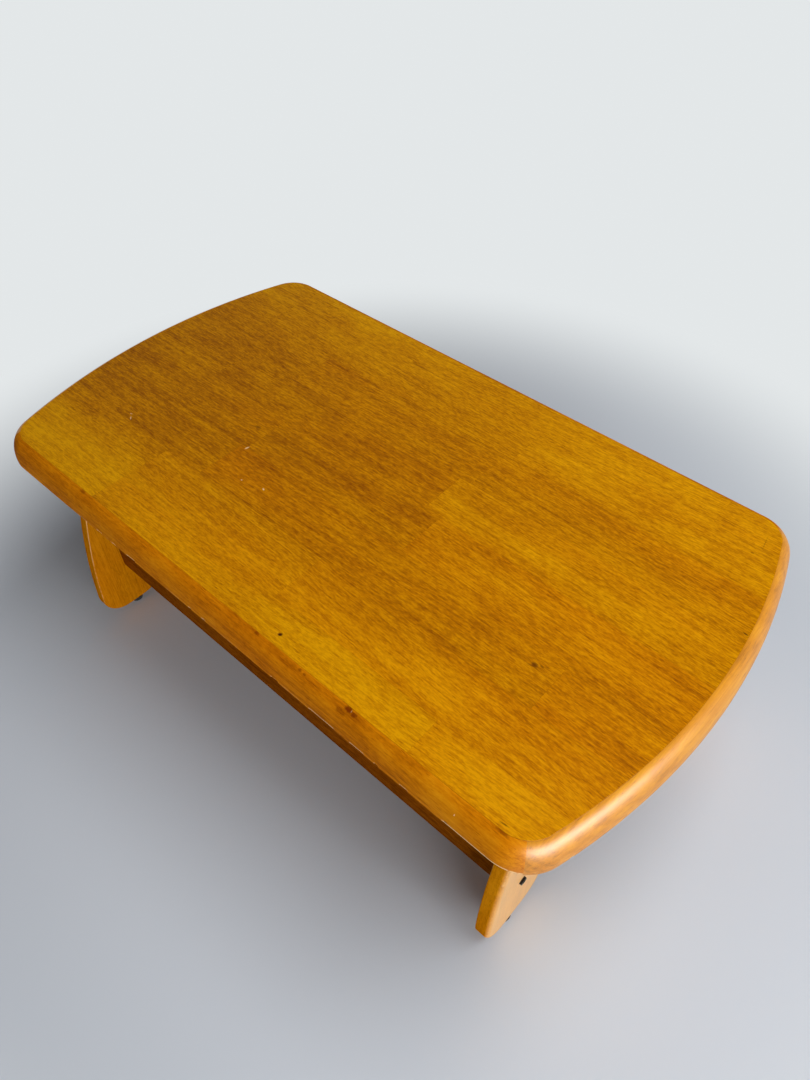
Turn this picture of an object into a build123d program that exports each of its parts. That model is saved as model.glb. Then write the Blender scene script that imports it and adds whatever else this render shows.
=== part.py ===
from build123d import *
import math
import os

# Low living-room table. A bowed, round-cornered top with a rounded-over lipping stands on two end
# frames of flared leg boards, and two bolted stretchers tie the end frames together.
# Sizes are in millimetres. X runs along the top, the front is -Y, and Z = 0 is the floor.
# "Right" is +X. Each hand-sized piece is modelled at the front right and mirrored to its places.

# ---- Top ----
TOP_LENGTH = 900.0
TOP_WIDTH = 510.0
TABLE_HEIGHT = 355.0
TOP_THICKNESS = 35.0
PANEL_THICKNESS = 21.0      # the panel lies in a rebate in the lipping
END_RADIUS = 720.0          # bow of the two ends, seen from above
CORNER_RADIUS = 50.0

# ---- Lipping section ----
LIP_FACE = 15.0             # from the outer face in to the crease at the panel
LIP_DROP = 30.0             # height of the elliptical round-over
CREASE_REACH = 3.5          # how far the ellipse's axis lies inside the crease, which sets its angle
LIP_RETURN = 25.0           # the part of the lipping that runs on under the panel
LIP_CHAMFER = 1.0           # eased lower arris
TONGUE_DEPTH = 8.0          # the lipping's tongue, which seats in a groove round the panel's edge
TONGUE_THICKNESS = 6.0
TONGUE_END_SPACE = 0.5

# ---- Leg boards ----
LEG_THICKNESS = 19.0
LEG_END_SETBACK = 80.0      # from the end of the top to the board's outer face
LEG_LIP_GAP = 42.0          # from the lipping's inner edge to the board's outer edge, at the panel
LEG_FOOT_SETBACK = 24.0     # from the top's long side to the board's outer edge, at the foot
LEG_TOP_WIDTH = 110.0
LEG_FOOT_WIDTH = 101.0
LEG_BOW = 16.0              # outward bow of both long edges
LEG_TOE_RADIUS = 36.0
LEG_ARRIS_RADIUS = 4.5

# ---- Cross rails, which tie the leg boards of one end and carry the top ----
CROSS_RAIL_THICKNESS = 22.0
CROSS_RAIL_HEIGHT = 60.0
CROSS_RAIL_END_GAP = 9.0    # from the leg board's outer edge in to the rail's end
CROSS_RAIL_END_RADIUS = 12.0

# ---- Stretchers ----
STRETCHER_THICKNESS = 24.0
STRETCHER_HEIGHT = 46.0
STRETCHER_SETBACK = 69.0    # from the top's long side to the stretcher's outer face
STRETCHER_CENTRE_HEIGHT = 111.0
STRETCHER_ARRIS_RADIUS = 2.0

# ---- Socket-head bolts, washers, barrel nuts and inserts, all of one thread size ----
BOLT_DIAMETER = 6.0
BOLT_HEAD_DIAMETER = 10.0
BOLT_HEAD_HEIGHT = 6.0
SOCKET_WIDTH = 5.0          # across the flats
SOCKET_DEPTH = 3.0
WASHER_DIAMETER = 11.0
WASHER_THICKNESS = 1.6
COUNTERBORE_DIAMETER = 12.0
COUNTERBORE_DEPTH = 5.0      # shallow, so that a bolt head stands a little proud
STRETCHER_BOLT_LENGTH = 50.0
RAIL_BOLT_LENGTH = 25.0
RAIL_BOLT_SPACING = 44.0
RAIL_BOLT_STAGGER = 24.0    # the outer bolt of a pair sits this much higher
BARREL_NUT_DIAMETER = 10.0
BARREL_NUT_LENGTH = 18.0
BARREL_NUT_FROM_END = 30.0
BOLT_END_SPACE = 4.0        # free bore past a bolt's end
INSERT_DIAMETER = 9.0
INSERT_LENGTH = 13.0
BOLT_CLEARANCE = 0.4        # on the diameter, where a bolt only passes through
FIT_CLEARANCE = 0.1         # on the diameter, where a piece seats in its hole

# ---- Dowels beside each stretcher bolt ----
DOWEL_DIAMETER = 8.0
DOWEL_IN_LEG = 10.0
DOWEL_IN_STRETCHER = 20.0
DOWEL_SPACING = 30.0
DOWEL_END_SPACE = 1.0

# ---- Screws from the cross rails up into the panel ----
SCREW_DIAMETER = 4.5
SCREW_HEAD_DIAMETER = 9.0
SCREW_HEAD_HEIGHT = 3.0
SCREW_HOLE_DIAMETER = 10.0
SCREW_GRIP = 30.0           # rail wood between the head and the panel
SCREW_IN_PANEL = 15.0
SCREW_SPACING = 75.0
SCREWS_PER_RAIL = 3

# ---- Screw-in feet ----
FOOT_DIAMETER = 20.0
FOOT_HEIGHT = 8.0
FOOT_TAPER = 1.0            # how much smaller the radius is at the floor
FOOT_EDGE_CHAMFER = 1.5
FOOT_SETBACK = 48.0         # from the board's outer edge at the foot to the foot's centre
STUD_IN_LEG = 22.0
STUD_IN_FOOT = 5.0

# ---- Derived places ----
panel_underside = TABLE_HEIGHT - PANEL_THICKNESS
top_underside = TABLE_HEIGHT - TOP_THICKNESS
tongue_underside = panel_underside + (PANEL_THICKNESS - TONGUE_THICKNESS) / 2
leg_bottom = FOOT_HEIGHT
leg_outer_x = TOP_LENGTH / 2 - LEG_END_SETBACK
leg_inner_x = leg_outer_x - LEG_THICKNESS
leg_top_outer_y = -TOP_WIDTH / 2 + LIP_FACE + LIP_RETURN + LEG_LIP_GAP
leg_foot_outer_y = -TOP_WIDTH / 2 + LEG_FOOT_SETBACK
stretcher_y = -TOP_WIDTH / 2 + STRETCHER_SETBACK + STRETCHER_THICKNESS / 2
cross_rail_inner_x = leg_inner_x - CROSS_RAIL_THICKNESS
cross_rail_x = leg_inner_x - CROSS_RAIL_THICKNESS / 2
cross_rail_half_length = -leg_top_outer_y - CROSS_RAIL_END_GAP
cross_rail_mid_z = panel_underside - CROSS_RAIL_HEIGHT / 2
foot_x = leg_outer_x - LEG_THICKNESS / 2
foot_y = leg_foot_outer_y + FOOT_SETBACK

# The plan outline has three kinds of arc: the bowed end about end_centre_x, and a corner arc that is
# tangent to that bow and to the long side.
end_centre_x = TOP_LENGTH / 2 - END_RADIUS
corner_centre_y = -TOP_WIDTH / 2 + CORNER_RADIUS
corner_centre_x = end_centre_x + math.sqrt((END_RADIUS - CORNER_RADIUS) ** 2 - corner_centre_y ** 2)
bow_half_angle = math.degrees(math.atan2(-corner_centre_y, corner_centre_x - end_centre_x))
mitre_angle = (90 - bow_half_angle) / 2

RIGHT = Vector(1, 0, 0)
LEFT = Vector(-1, 0, 0)
REAR = Vector(0, 1, 0)
UP = Vector(0, 0, 1)


def rod(diameter, length, start, direction):
    """A round bar, or the cutter for a hole, from start along direction."""
    seat = Plane(origin=start, z_dir=direction)
    return seat * Cylinder(diameter / 2, length, align=(Align.CENTER, Align.CENTER, Align.MIN))


def tube(outer, inner, length, start, direction):
    """A round bar with a round hole right through it."""
    return rod(outer, length, start, direction) - rod(inner, length, start, direction)


def socket_bolt(seat, direction, length):
    """A socket-head bolt whose head stands on seat and whose shank runs along direction."""
    head_top = seat - direction * BOLT_HEAD_HEIGHT
    head = rod(BOLT_HEAD_DIAMETER, BOLT_HEAD_HEIGHT, head_top, direction)
    shank = rod(BOLT_DIAMETER, length, seat, direction)
    hexagon = RegularPolygon(SOCKET_WIDTH / 2, 6, major_radius=False)
    socket = extrude(Plane(origin=head_top, z_dir=direction) * hexagon, SOCKET_DEPTH)
    return head + shank - socket


def washer(seat, direction):
    """A plain washer that lies on seat, on the side away from direction."""
    hole = BOLT_DIAMETER + BOLT_CLEARANCE
    return tube(WASHER_DIAMETER, hole, WASHER_THICKNESS, seat - direction * WASHER_THICKNESS, direction)


def left_and_right(piece):
    """The piece and its mirror image at the other end of the table."""
    return {"right": piece, "left": mirror(piece, about=Plane.YZ)}


def front_and_rear(piece):
    """The piece and its mirror image at the other long side."""
    return {"front": piece, "rear": mirror(piece, about=Plane.XZ)}


def at_four_legs(piece):
    """The piece at the front right and its mirror images at the other three legs."""
    return {
        side + "_" + hand: copy
        for side, half in front_and_rear(piece).items()
        for hand, copy in left_and_right(half).items()
    }


# ---- Top ----
def plan_outline(inset):
    """The top's plan outline, drawn in by inset, as a face at Z = 0."""
    corner = CORNER_RADIUS - inset
    span = 90 - bow_half_angle
    front_right = CenterArc((corner_centre_x, corner_centre_y), corner, -90, span)
    right_end = CenterArc((end_centre_x, 0), END_RADIUS - inset, -bow_half_angle, 2 * bow_half_angle)
    rear_right = CenterArc((corner_centre_x, -corner_centre_y), corner, bow_half_angle, span)
    right_half = [front_right, right_end, rear_right]
    left_half = [mirror(edge, about=Plane.YZ).edge() for edge in right_half]
    half_width = TOP_WIDTH / 2 - inset
    front = Line((-corner_centre_x, -half_width), (corner_centre_x, -half_width))
    rear = Line((-corner_centre_x, half_width), (corner_centre_x, half_width))
    return make_face(Curve() + right_half + left_half + [front, rear])


def screw_places():
    """The foot of each panel screw's head, for the right cross rail."""
    first = -SCREW_SPACING * (SCREWS_PER_RAIL - 1) / 2
    seat_z = panel_underside - SCREW_GRIP
    return [Vector(cross_rail_x, first + SCREW_SPACING * i, seat_z) for i in range(SCREWS_PER_RAIL)]


def top_panel():
    """The flat panel, which fills the lipping's rebate, grooved round its edge and pre-drilled below."""
    panel = Pos(0, 0, panel_underside) * extrude(plan_outline(LIP_FACE), PANEL_THICKNESS)
    groove_bottom = plan_outline(LIP_FACE + TONGUE_DEPTH + TONGUE_END_SPACE)
    groove = extrude(plan_outline(LIP_FACE) - groove_bottom, TONGUE_THICKNESS)
    panel -= Pos(0, 0, tongue_underside) * groove
    for place in screw_places():
        for x in (place.X, -place.X):
            start = Vector(x, place.Y, panel_underside)
            panel -= rod(SCREW_DIAMETER + FIT_CLEARANCE, SCREW_IN_PANEL + FIT_CLEARANCE, start, UP)
    return panel


def lipping_section(plane):
    """The lipping's section: x is 0 at its outermost face and grows outwards, y is height."""
    reach = LIP_FACE + CREASE_REACH
    rise_angle = math.degrees(math.acos(CREASE_REACH / reach))
    half_height = LIP_DROP / math.sin(math.radians(rise_angle))
    shoulder_z = TABLE_HEIGHT - LIP_DROP
    round_over = EllipticalCenterArc((-reach, shoulder_z), reach, half_height, 0, arc_size=rise_angle)
    inner_edge = -LIP_FACE - LIP_RETURN
    body = Polyline(
        round_over @ 1,
        (-LIP_FACE, tongue_underside + TONGUE_THICKNESS),
        (-LIP_FACE - TONGUE_DEPTH, tongue_underside + TONGUE_THICKNESS),
        (-LIP_FACE - TONGUE_DEPTH, tongue_underside),
        (-LIP_FACE, tongue_underside),
        (-LIP_FACE, panel_underside),
        (inner_edge, panel_underside),
        (inner_edge, top_underside),
        (-LIP_CHAMFER, top_underside),
        (0, top_underside + LIP_CHAMFER),
        round_over @ 0,
    )
    return plane * make_face([round_over, body])


def bent_lipping(centre_x, centre_y, radius, start, span):
    """A length of lipping that is bent round a vertical axis, from the angle start through span."""
    outward = Vector(math.cos(math.radians(start)), math.sin(math.radians(start)), 0)
    origin = Vector(centre_x, centre_y, 0) + outward * radius
    plane = Plane(origin=origin, x_dir=outward, z_dir=outward.cross(UP))
    return revolve(lipping_section(plane), Axis((centre_x, centre_y, 0), (0, 0, 1)), span)


def front_lipping():
    """The front lipping, mitred half-way round each corner."""
    corner = bent_lipping(corner_centre_x, corner_centre_y, CORNER_RADIUS, -90, mitre_angle)
    start = Vector(corner_centre_x, -TOP_WIDTH / 2, 0)
    straight = extrude(lipping_section(Plane(origin=start, x_dir=-REAR, z_dir=LEFT)), 2 * corner_centre_x)
    return straight + corner + mirror(corner, about=Plane.YZ)


def right_lipping():
    """The bowed right lipping, mitred half-way round each corner."""
    bow = bent_lipping(end_centre_x, 0, END_RADIUS, -bow_half_angle, 2 * bow_half_angle)
    mitre = -bow_half_angle - mitre_angle
    corner = bent_lipping(corner_centre_x, corner_centre_y, CORNER_RADIUS, mitre, mitre_angle)
    return bow + corner + mirror(corner, about=Plane.XZ)


# ---- End frames ----
def leg_edge_shift(z):
    """How far the leg board's long edges stand outwards at height z, from their place at the panel."""
    t = (panel_underside - z) / (panel_underside - leg_bottom)
    flare = leg_top_outer_y - leg_foot_outer_y
    return flare * t + 4 * LEG_BOW * t * (1 - t)


def leg_outline():
    """The leg board's outline, drawn with x across the table and y up."""
    foot_inner_y = leg_foot_outer_y + LEG_FOOT_WIDTH
    top_inner_y = leg_top_outer_y + LEG_TOP_WIDTH
    mid_z = (panel_underside + leg_bottom) / 2
    outer_mid_y = (leg_top_outer_y + leg_foot_outer_y) / 2 - LEG_BOW
    inner_mid_y = (top_inner_y + foot_inner_y) / 2 - LEG_BOW
    outer = ThreePointArc(
        (leg_top_outer_y, panel_underside), (outer_mid_y, mid_z), (leg_foot_outer_y, leg_bottom)
    )
    sole = Line((leg_foot_outer_y, leg_bottom), (foot_inner_y, leg_bottom))
    inner = ThreePointArc((foot_inner_y, leg_bottom), (inner_mid_y, mid_z), (top_inner_y, panel_underside))
    head = Line((top_inner_y, panel_underside), (leg_top_outer_y, panel_underside))
    board = make_face([outer, sole, inner, head])
    return fillet(board.vertices().group_by(Axis.Y)[0], LEG_TOE_RADIUS)


def rail_bolt_places():
    """Where the two rail bolts of the front right leg cross the face between board and rail."""
    middle_y = leg_top_outer_y + LEG_TOP_WIDTH / 2 - leg_edge_shift(cross_rail_mid_z)
    step_y = RAIL_BOLT_SPACING / 2
    step_z = -RAIL_BOLT_STAGGER / 2
    return [
        Vector(leg_inner_x, middle_y + step_y * side, cross_rail_mid_z + step_z * side) for side in (-1, 1)
    ]


def dowel_places():
    """The centres of the two dowels at the front stretcher's right end, on the leg's inner face."""
    return [
        Vector(leg_inner_x, stretcher_y, STRETCHER_CENTRE_HEIGHT + DOWEL_SPACING / 2 * side)
        for side in (-1, 1)
    ]


def leg_board():
    """The front right leg board, with every hole that its joints need."""
    face = Plane(origin=(leg_inner_x, 0, 0), x_dir=REAR, z_dir=RIGHT)
    board = extrude(face * leg_outline(), LEG_THICKNESS)
    broad_faces = board.faces().filter_by(Axis.X)
    below_panel = panel_underside - LEG_ARRIS_RADIUS
    arrises = broad_faces.edges().filter_by(lambda edge: edge.center().Z < below_panel)
    board = fillet(arrises, LEG_ARRIS_RADIUS)
    bolt_start = Vector(leg_outer_x, stretcher_y, STRETCHER_CENTRE_HEIGHT)
    board -= rod(COUNTERBORE_DIAMETER, COUNTERBORE_DEPTH, bolt_start, LEFT)
    board -= rod(BOLT_DIAMETER + BOLT_CLEARANCE, LEG_THICKNESS, bolt_start, LEFT)
    for place in dowel_places():
        board -= rod(DOWEL_DIAMETER + FIT_CLEARANCE, DOWEL_IN_LEG + DOWEL_END_SPACE, place, RIGHT)
    for place in rail_bolt_places():
        board -= rod(INSERT_DIAMETER + FIT_CLEARANCE, INSERT_LENGTH + FIT_CLEARANCE, place, RIGHT)
    sole = Vector(foot_x, foot_y, leg_bottom)
    board -= rod(INSERT_DIAMETER + FIT_CLEARANCE, INSERT_LENGTH + FIT_CLEARANCE, sole, UP)
    board -= rod(BOLT_DIAMETER + BOLT_CLEARANCE, STUD_IN_LEG + BOLT_END_SPACE, sole, UP)
    return board


def cross_rail():
    """The right cross rail, on edge against the leg boards, with its lower corners rounded."""
    face = Plane(origin=(cross_rail_inner_x, 0, panel_underside), x_dir=REAR, z_dir=RIGHT)
    blank = Rectangle(2 * cross_rail_half_length, CROSS_RAIL_HEIGHT, align=(Align.CENTER, Align.MAX))
    blank = fillet(blank.vertices().group_by(Axis.Y)[0], CROSS_RAIL_END_RADIUS)
    rail = extrude(face * blank, CROSS_RAIL_THICKNESS)
    for place in rail_bolt_places():
        for y in (place.Y, -place.Y):
            start = Vector(cross_rail_inner_x, y, place.Z)
            rail -= rod(COUNTERBORE_DIAMETER, rail_counterbore, start, RIGHT)
            rail -= rod(BOLT_DIAMETER + BOLT_CLEARANCE, CROSS_RAIL_THICKNESS, start, RIGHT)
    for place in screw_places():
        access = CROSS_RAIL_HEIGHT - SCREW_GRIP
        rail -= rod(SCREW_HOLE_DIAMETER, access, place - UP * access, UP)
        rail -= rod(SCREW_DIAMETER + FIT_CLEARANCE, SCREW_GRIP, place, UP)
    return rail


# ---- Stretchers ----
def front_stretcher():
    """The front stretcher, bored at both ends for a bolt, its barrel nut and two dowels."""
    section = Plane(origin=(-leg_inner_x, stretcher_y, STRETCHER_CENTRE_HEIGHT), x_dir=REAR, z_dir=RIGHT)
    bar = extrude(section * Rectangle(STRETCHER_THICKNESS, STRETCHER_HEIGHT), 2 * leg_inner_x)
    bar = fillet(bar.edges().filter_by(Axis.X), STRETCHER_ARRIS_RADIUS)
    inner_face_y = stretcher_y + STRETCHER_THICKNESS / 2
    for hand in (RIGHT, LEFT):
        end = Vector(hand.X * leg_inner_x, stretcher_y, STRETCHER_CENTRE_HEIGHT)
        bar -= rod(BOLT_DIAMETER + BOLT_CLEARANCE, stretcher_bolt_reach + BOLT_END_SPACE, end, -hand)
        nut_mouth = Vector(end.X - hand.X * BARREL_NUT_FROM_END, inner_face_y, end.Z)
        bar -= rod(BARREL_NUT_DIAMETER + FIT_CLEARANCE, nut_hole_depth, nut_mouth, -REAR)
        for place in dowel_places():
            mouth = Vector(end.X, place.Y, place.Z)
            bar -= rod(DOWEL_DIAMETER + FIT_CLEARANCE, DOWEL_IN_STRETCHER + DOWEL_END_SPACE, mouth, -hand)
    return bar


# ---- Fastenings, each at the front right ----
stretcher_bolt_seat = leg_outer_x - COUNTERBORE_DEPTH + WASHER_THICKNESS
stretcher_bolt_reach = STRETCHER_BOLT_LENGTH - (stretcher_bolt_seat - leg_inner_x)
rail_counterbore = BOLT_HEAD_HEIGHT + WASHER_THICKNESS
rail_bolt_seat = cross_rail_inner_x + BOLT_HEAD_HEIGHT
nut_hole_depth = STRETCHER_THICKNESS / 2 + BARREL_NUT_LENGTH / 2


def stretcher_bolt():
    seat = Vector(stretcher_bolt_seat, stretcher_y, STRETCHER_CENTRE_HEIGHT)
    return socket_bolt(seat, LEFT, STRETCHER_BOLT_LENGTH)


def stretcher_washer():
    under_head = Vector(stretcher_bolt_seat - WASHER_THICKNESS, stretcher_y, STRETCHER_CENTRE_HEIGHT)
    return washer(under_head, LEFT)


def barrel_nut():
    """A cross dowel nut, which lies across the stretcher on the bolt's axis."""
    axis_x = leg_inner_x - BARREL_NUT_FROM_END
    start = Vector(axis_x, stretcher_y - BARREL_NUT_LENGTH / 2, STRETCHER_CENTRE_HEIGHT)
    nut = rod(BARREL_NUT_DIAMETER, BARREL_NUT_LENGTH, start, REAR)
    thread_start = Vector(axis_x + BARREL_NUT_DIAMETER, stretcher_y, STRETCHER_CENTRE_HEIGHT)
    return nut - rod(BOLT_DIAMETER + FIT_CLEARANCE, 2 * BARREL_NUT_DIAMETER, thread_start, LEFT)


def stretcher_dowels():
    length = DOWEL_IN_LEG + DOWEL_IN_STRETCHER
    return [rod(DOWEL_DIAMETER, length, place + RIGHT * DOWEL_IN_LEG, LEFT) for place in dowel_places()]


def rail_bolts():
    return [
        socket_bolt(Vector(rail_bolt_seat, place.Y, place.Z), RIGHT, RAIL_BOLT_LENGTH)
        for place in rail_bolt_places()
    ]


def rail_washers():
    seat_x = cross_rail_inner_x + rail_counterbore
    return [washer(Vector(seat_x, place.Y, place.Z), RIGHT) for place in rail_bolt_places()]


def leg_inserts():
    """The threaded inserts in the leg board's inner face, for the rail bolts."""
    bore = BOLT_DIAMETER + FIT_CLEARANCE
    return [tube(INSERT_DIAMETER, bore, INSERT_LENGTH, place, RIGHT) for place in rail_bolt_places()]


def panel_screw(place):
    """A wood screw with a flat pan head and a pointed end."""
    point_length = SCREW_DIAMETER
    length = SCREW_GRIP + SCREW_IN_PANEL
    head = rod(SCREW_HEAD_DIAMETER, SCREW_HEAD_HEIGHT, place - UP * SCREW_HEAD_HEIGHT, UP)
    shank = rod(SCREW_DIAMETER, length - point_length, place, UP)
    point = Cone(SCREW_DIAMETER / 2, 0, point_length, align=(Align.CENTER, Align.CENTER, Align.MIN))
    point = Plane(origin=place + UP * (length - point_length), z_dir=UP) * point
    return head + shank + point


# ---- Feet ----
def foot_insert():
    """The threaded insert in the sole of the leg board."""
    sole = Vector(foot_x, foot_y, leg_bottom)
    return tube(INSERT_DIAMETER, BOLT_DIAMETER + FIT_CLEARANCE, INSERT_LENGTH, sole, UP)


def foot_stud():
    """The foot's threaded stud, moulded into its pad."""
    start = Vector(foot_x, foot_y, leg_bottom - STUD_IN_FOOT)
    return rod(BOLT_DIAMETER, STUD_IN_FOOT + STUD_IN_LEG, start, UP)


def foot_pad():
    """The tapered pad, with a chamfered edge at the floor and a socket for its stud."""
    radius = FOOT_DIAMETER / 2
    half_section = Polyline(
        (0, 0),
        (radius - FOOT_TAPER - FOOT_EDGE_CHAMFER, 0),
        (radius - FOOT_TAPER, FOOT_EDGE_CHAMFER),
        (radius, FOOT_HEIGHT),
        (0, FOOT_HEIGHT),
        close=True,
    )
    section = Plane(origin=(foot_x, foot_y, 0), x_dir=RIGHT, z_dir=-REAR) * make_face(half_section)
    pad = revolve(section, Axis((foot_x, foot_y, 0), (0, 0, 1)))
    stud_bottom = Vector(foot_x, foot_y, leg_bottom - STUD_IN_FOOT)
    return pad - rod(BOLT_DIAMETER + FIT_CLEARANCE, STUD_IN_FOOT, stud_bottom, UP)


# ---- Nodes ----
def write_node(node, pieces):
    """Write one node, which holds one solid or a group of separate ones."""
    solids = [solid for piece in pieces for solid in piece.solids()]
    shape = solids[0] if len(solids) == 1 else Compound(solids)
    export_step(shape, os.path.join("parts", node + ".step"))


def write_per_leg(prefix, piece):
    """Write the piece as one node at each leg."""
    for place, copy in at_four_legs(piece).items():
        write_node(prefix + "_" + place, [copy])


def write_leg_group(node, pieces):
    """Write one node that holds the pieces at all four legs."""
    write_node(node, [copy for piece in pieces for copy in at_four_legs(piece).values()])


os.makedirs("parts", exist_ok=True)

write_node("top_panel", [top_panel()])
for side, lip in front_and_rear(front_lipping()).items():
    write_node("lipping_" + side, [lip])
for hand, lip in left_and_right(right_lipping()).items():
    write_node("lipping_" + hand, [lip])

write_per_leg("leg", leg_board())
for hand, rail in left_and_right(cross_rail()).items():
    write_node("cross_rail_" + hand, [rail])
for side, bar in front_and_rear(front_stretcher()).items():
    write_node("stretcher_" + side, [bar])

write_leg_group("stretcher_bolts", [stretcher_bolt()])
write_leg_group("stretcher_washers", [stretcher_washer()])
write_leg_group("barrel_nuts", [barrel_nut()])
write_leg_group("stretcher_dowels", stretcher_dowels())
write_leg_group("rail_bolts", rail_bolts())
write_leg_group("rail_washers", rail_washers())
write_leg_group("leg_inserts", leg_inserts())
write_node("panel_screws", [
    screw for place in screw_places() for screw in left_and_right(panel_screw(place)).values()
])

write_leg_group("foot_inserts", [foot_insert()])
write_per_leg("foot_stud", foot_stud())
write_per_leg("foot_pad", foot_pad())
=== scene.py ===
"""Looks of a low table: a top of glued staves with rounded lippings, on flared and bolted leg boards.

Sizes are in metres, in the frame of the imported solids: X runs along the top, the front is -Y and the
floor is Z = 0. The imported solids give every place. This script adds finishes, and finer pieces for
the panel, its lippings and the leg boards, which show staves, pits, nicks and worn arrises.
"""

from __future__ import annotations

import logging
import math
import random
from dataclasses import dataclass, replace
from enum import Enum
from typing import Any, Iterable, Sequence

import bpy
from mathutils import Matrix, Vector
from mathutils.geometry import delaunay_2d_cdt
from mathutils.noise import noise as wander

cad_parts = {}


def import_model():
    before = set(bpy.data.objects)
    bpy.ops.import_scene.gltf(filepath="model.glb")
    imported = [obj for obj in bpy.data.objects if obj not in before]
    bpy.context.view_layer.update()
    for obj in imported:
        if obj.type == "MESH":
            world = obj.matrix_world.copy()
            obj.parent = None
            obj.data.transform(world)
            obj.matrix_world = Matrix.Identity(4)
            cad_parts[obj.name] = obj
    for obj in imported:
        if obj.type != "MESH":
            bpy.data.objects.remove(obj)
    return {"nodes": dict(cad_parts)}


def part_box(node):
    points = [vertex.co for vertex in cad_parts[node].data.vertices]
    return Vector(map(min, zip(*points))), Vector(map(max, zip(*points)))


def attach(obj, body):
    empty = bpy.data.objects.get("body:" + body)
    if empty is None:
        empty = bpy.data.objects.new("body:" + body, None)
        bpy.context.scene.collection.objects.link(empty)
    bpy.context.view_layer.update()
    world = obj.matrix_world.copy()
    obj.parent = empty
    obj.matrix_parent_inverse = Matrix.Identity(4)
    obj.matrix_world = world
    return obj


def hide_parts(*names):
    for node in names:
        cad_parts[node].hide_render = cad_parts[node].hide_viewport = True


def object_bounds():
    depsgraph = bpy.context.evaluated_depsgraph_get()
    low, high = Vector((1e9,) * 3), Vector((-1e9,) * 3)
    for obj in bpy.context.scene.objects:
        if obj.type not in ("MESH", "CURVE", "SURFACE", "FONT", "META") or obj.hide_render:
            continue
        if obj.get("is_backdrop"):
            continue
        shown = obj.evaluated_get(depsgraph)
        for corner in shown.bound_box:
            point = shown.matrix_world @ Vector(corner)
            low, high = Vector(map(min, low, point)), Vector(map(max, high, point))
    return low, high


log = logging.getLogger("low_table")

Colour = tuple[float, float, float]
MM = 0.001
STAVE_LAYER = "stave"
MARK_LAYER = "mark"


def srgb(red: int, green: int, blue: int) -> Colour:
    """Turn display values from 0 to 255 into linear light.

    Args:
        red: The display value of red.
        green: The display value of green.
        blue: The display value of blue.

    Returns:
        The colour in linear light.
    """

    def linear(value: float) -> float:
        """One channel in linear light."""
        return value / 12.92 if value <= 0.04045 else ((value + 0.055) / 1.055) ** 2.4

    return linear(red / 255), linear(green / 255), linear(blue / 255)


def smooth_step(value: float) -> float:
    """A soft rise from 0 to 1 as value goes from 0 to 1."""
    held = min(1.0, max(0.0, value))
    return held * held * (3 - 2 * held)


# ---- Shader expressions ----
class Signal:
    """A shader socket that takes part in Python arithmetic; each operation adds its Math node."""

    def __init__(self, bench: Bench, socket: bpy.types.NodeSocket) -> None:
        """Hold the socket and the bench that its nodes stand on."""
        self.bench = bench
        self.socket = socket

    def __add__(self, other: Value) -> Signal:
        """This plus other."""
        return self.bench.math("ADD", self, other)

    __radd__ = __add__

    def __sub__(self, other: Value) -> Signal:
        """This less other."""
        return self.bench.math("SUBTRACT", self, other)

    def __rsub__(self, other: Value) -> Signal:
        """Other less this."""
        return self.bench.math("SUBTRACT", other, self)

    def __mul__(self, other: Value) -> Signal:
        """This times other."""
        return self.bench.math("MULTIPLY", self, other)

    __rmul__ = __mul__

    def __pow__(self, other: Value) -> Signal:
        """This to the power of other."""
        return self.bench.math("POWER", self, other)

    def rise(self, low: float, high: float) -> Signal:
        """A soft step.

        Args:
            low: Where it starts.
            high: Where it ends.

        Returns:
            0 up to low, 1 from high on, and a soft rise between them.
        """
        settings = {"interpolation_type": "SMOOTHSTEP"}
        values = {"Value": self, "From Min": low, "From Max": high}
        return self.bench.signal(self.bench.node("ShaderNodeMapRange", settings, values))

    def sine(self) -> Signal:
        """The sine of this, in radians."""
        return self.bench.math("SINE", self)

    def root(self) -> Signal:
        """The square root of this."""
        return self.bench.math("SQRT", self)


Value = Signal | float
SPOT_LOBES = 1.6
SPOT_CORE = 0.35


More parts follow.
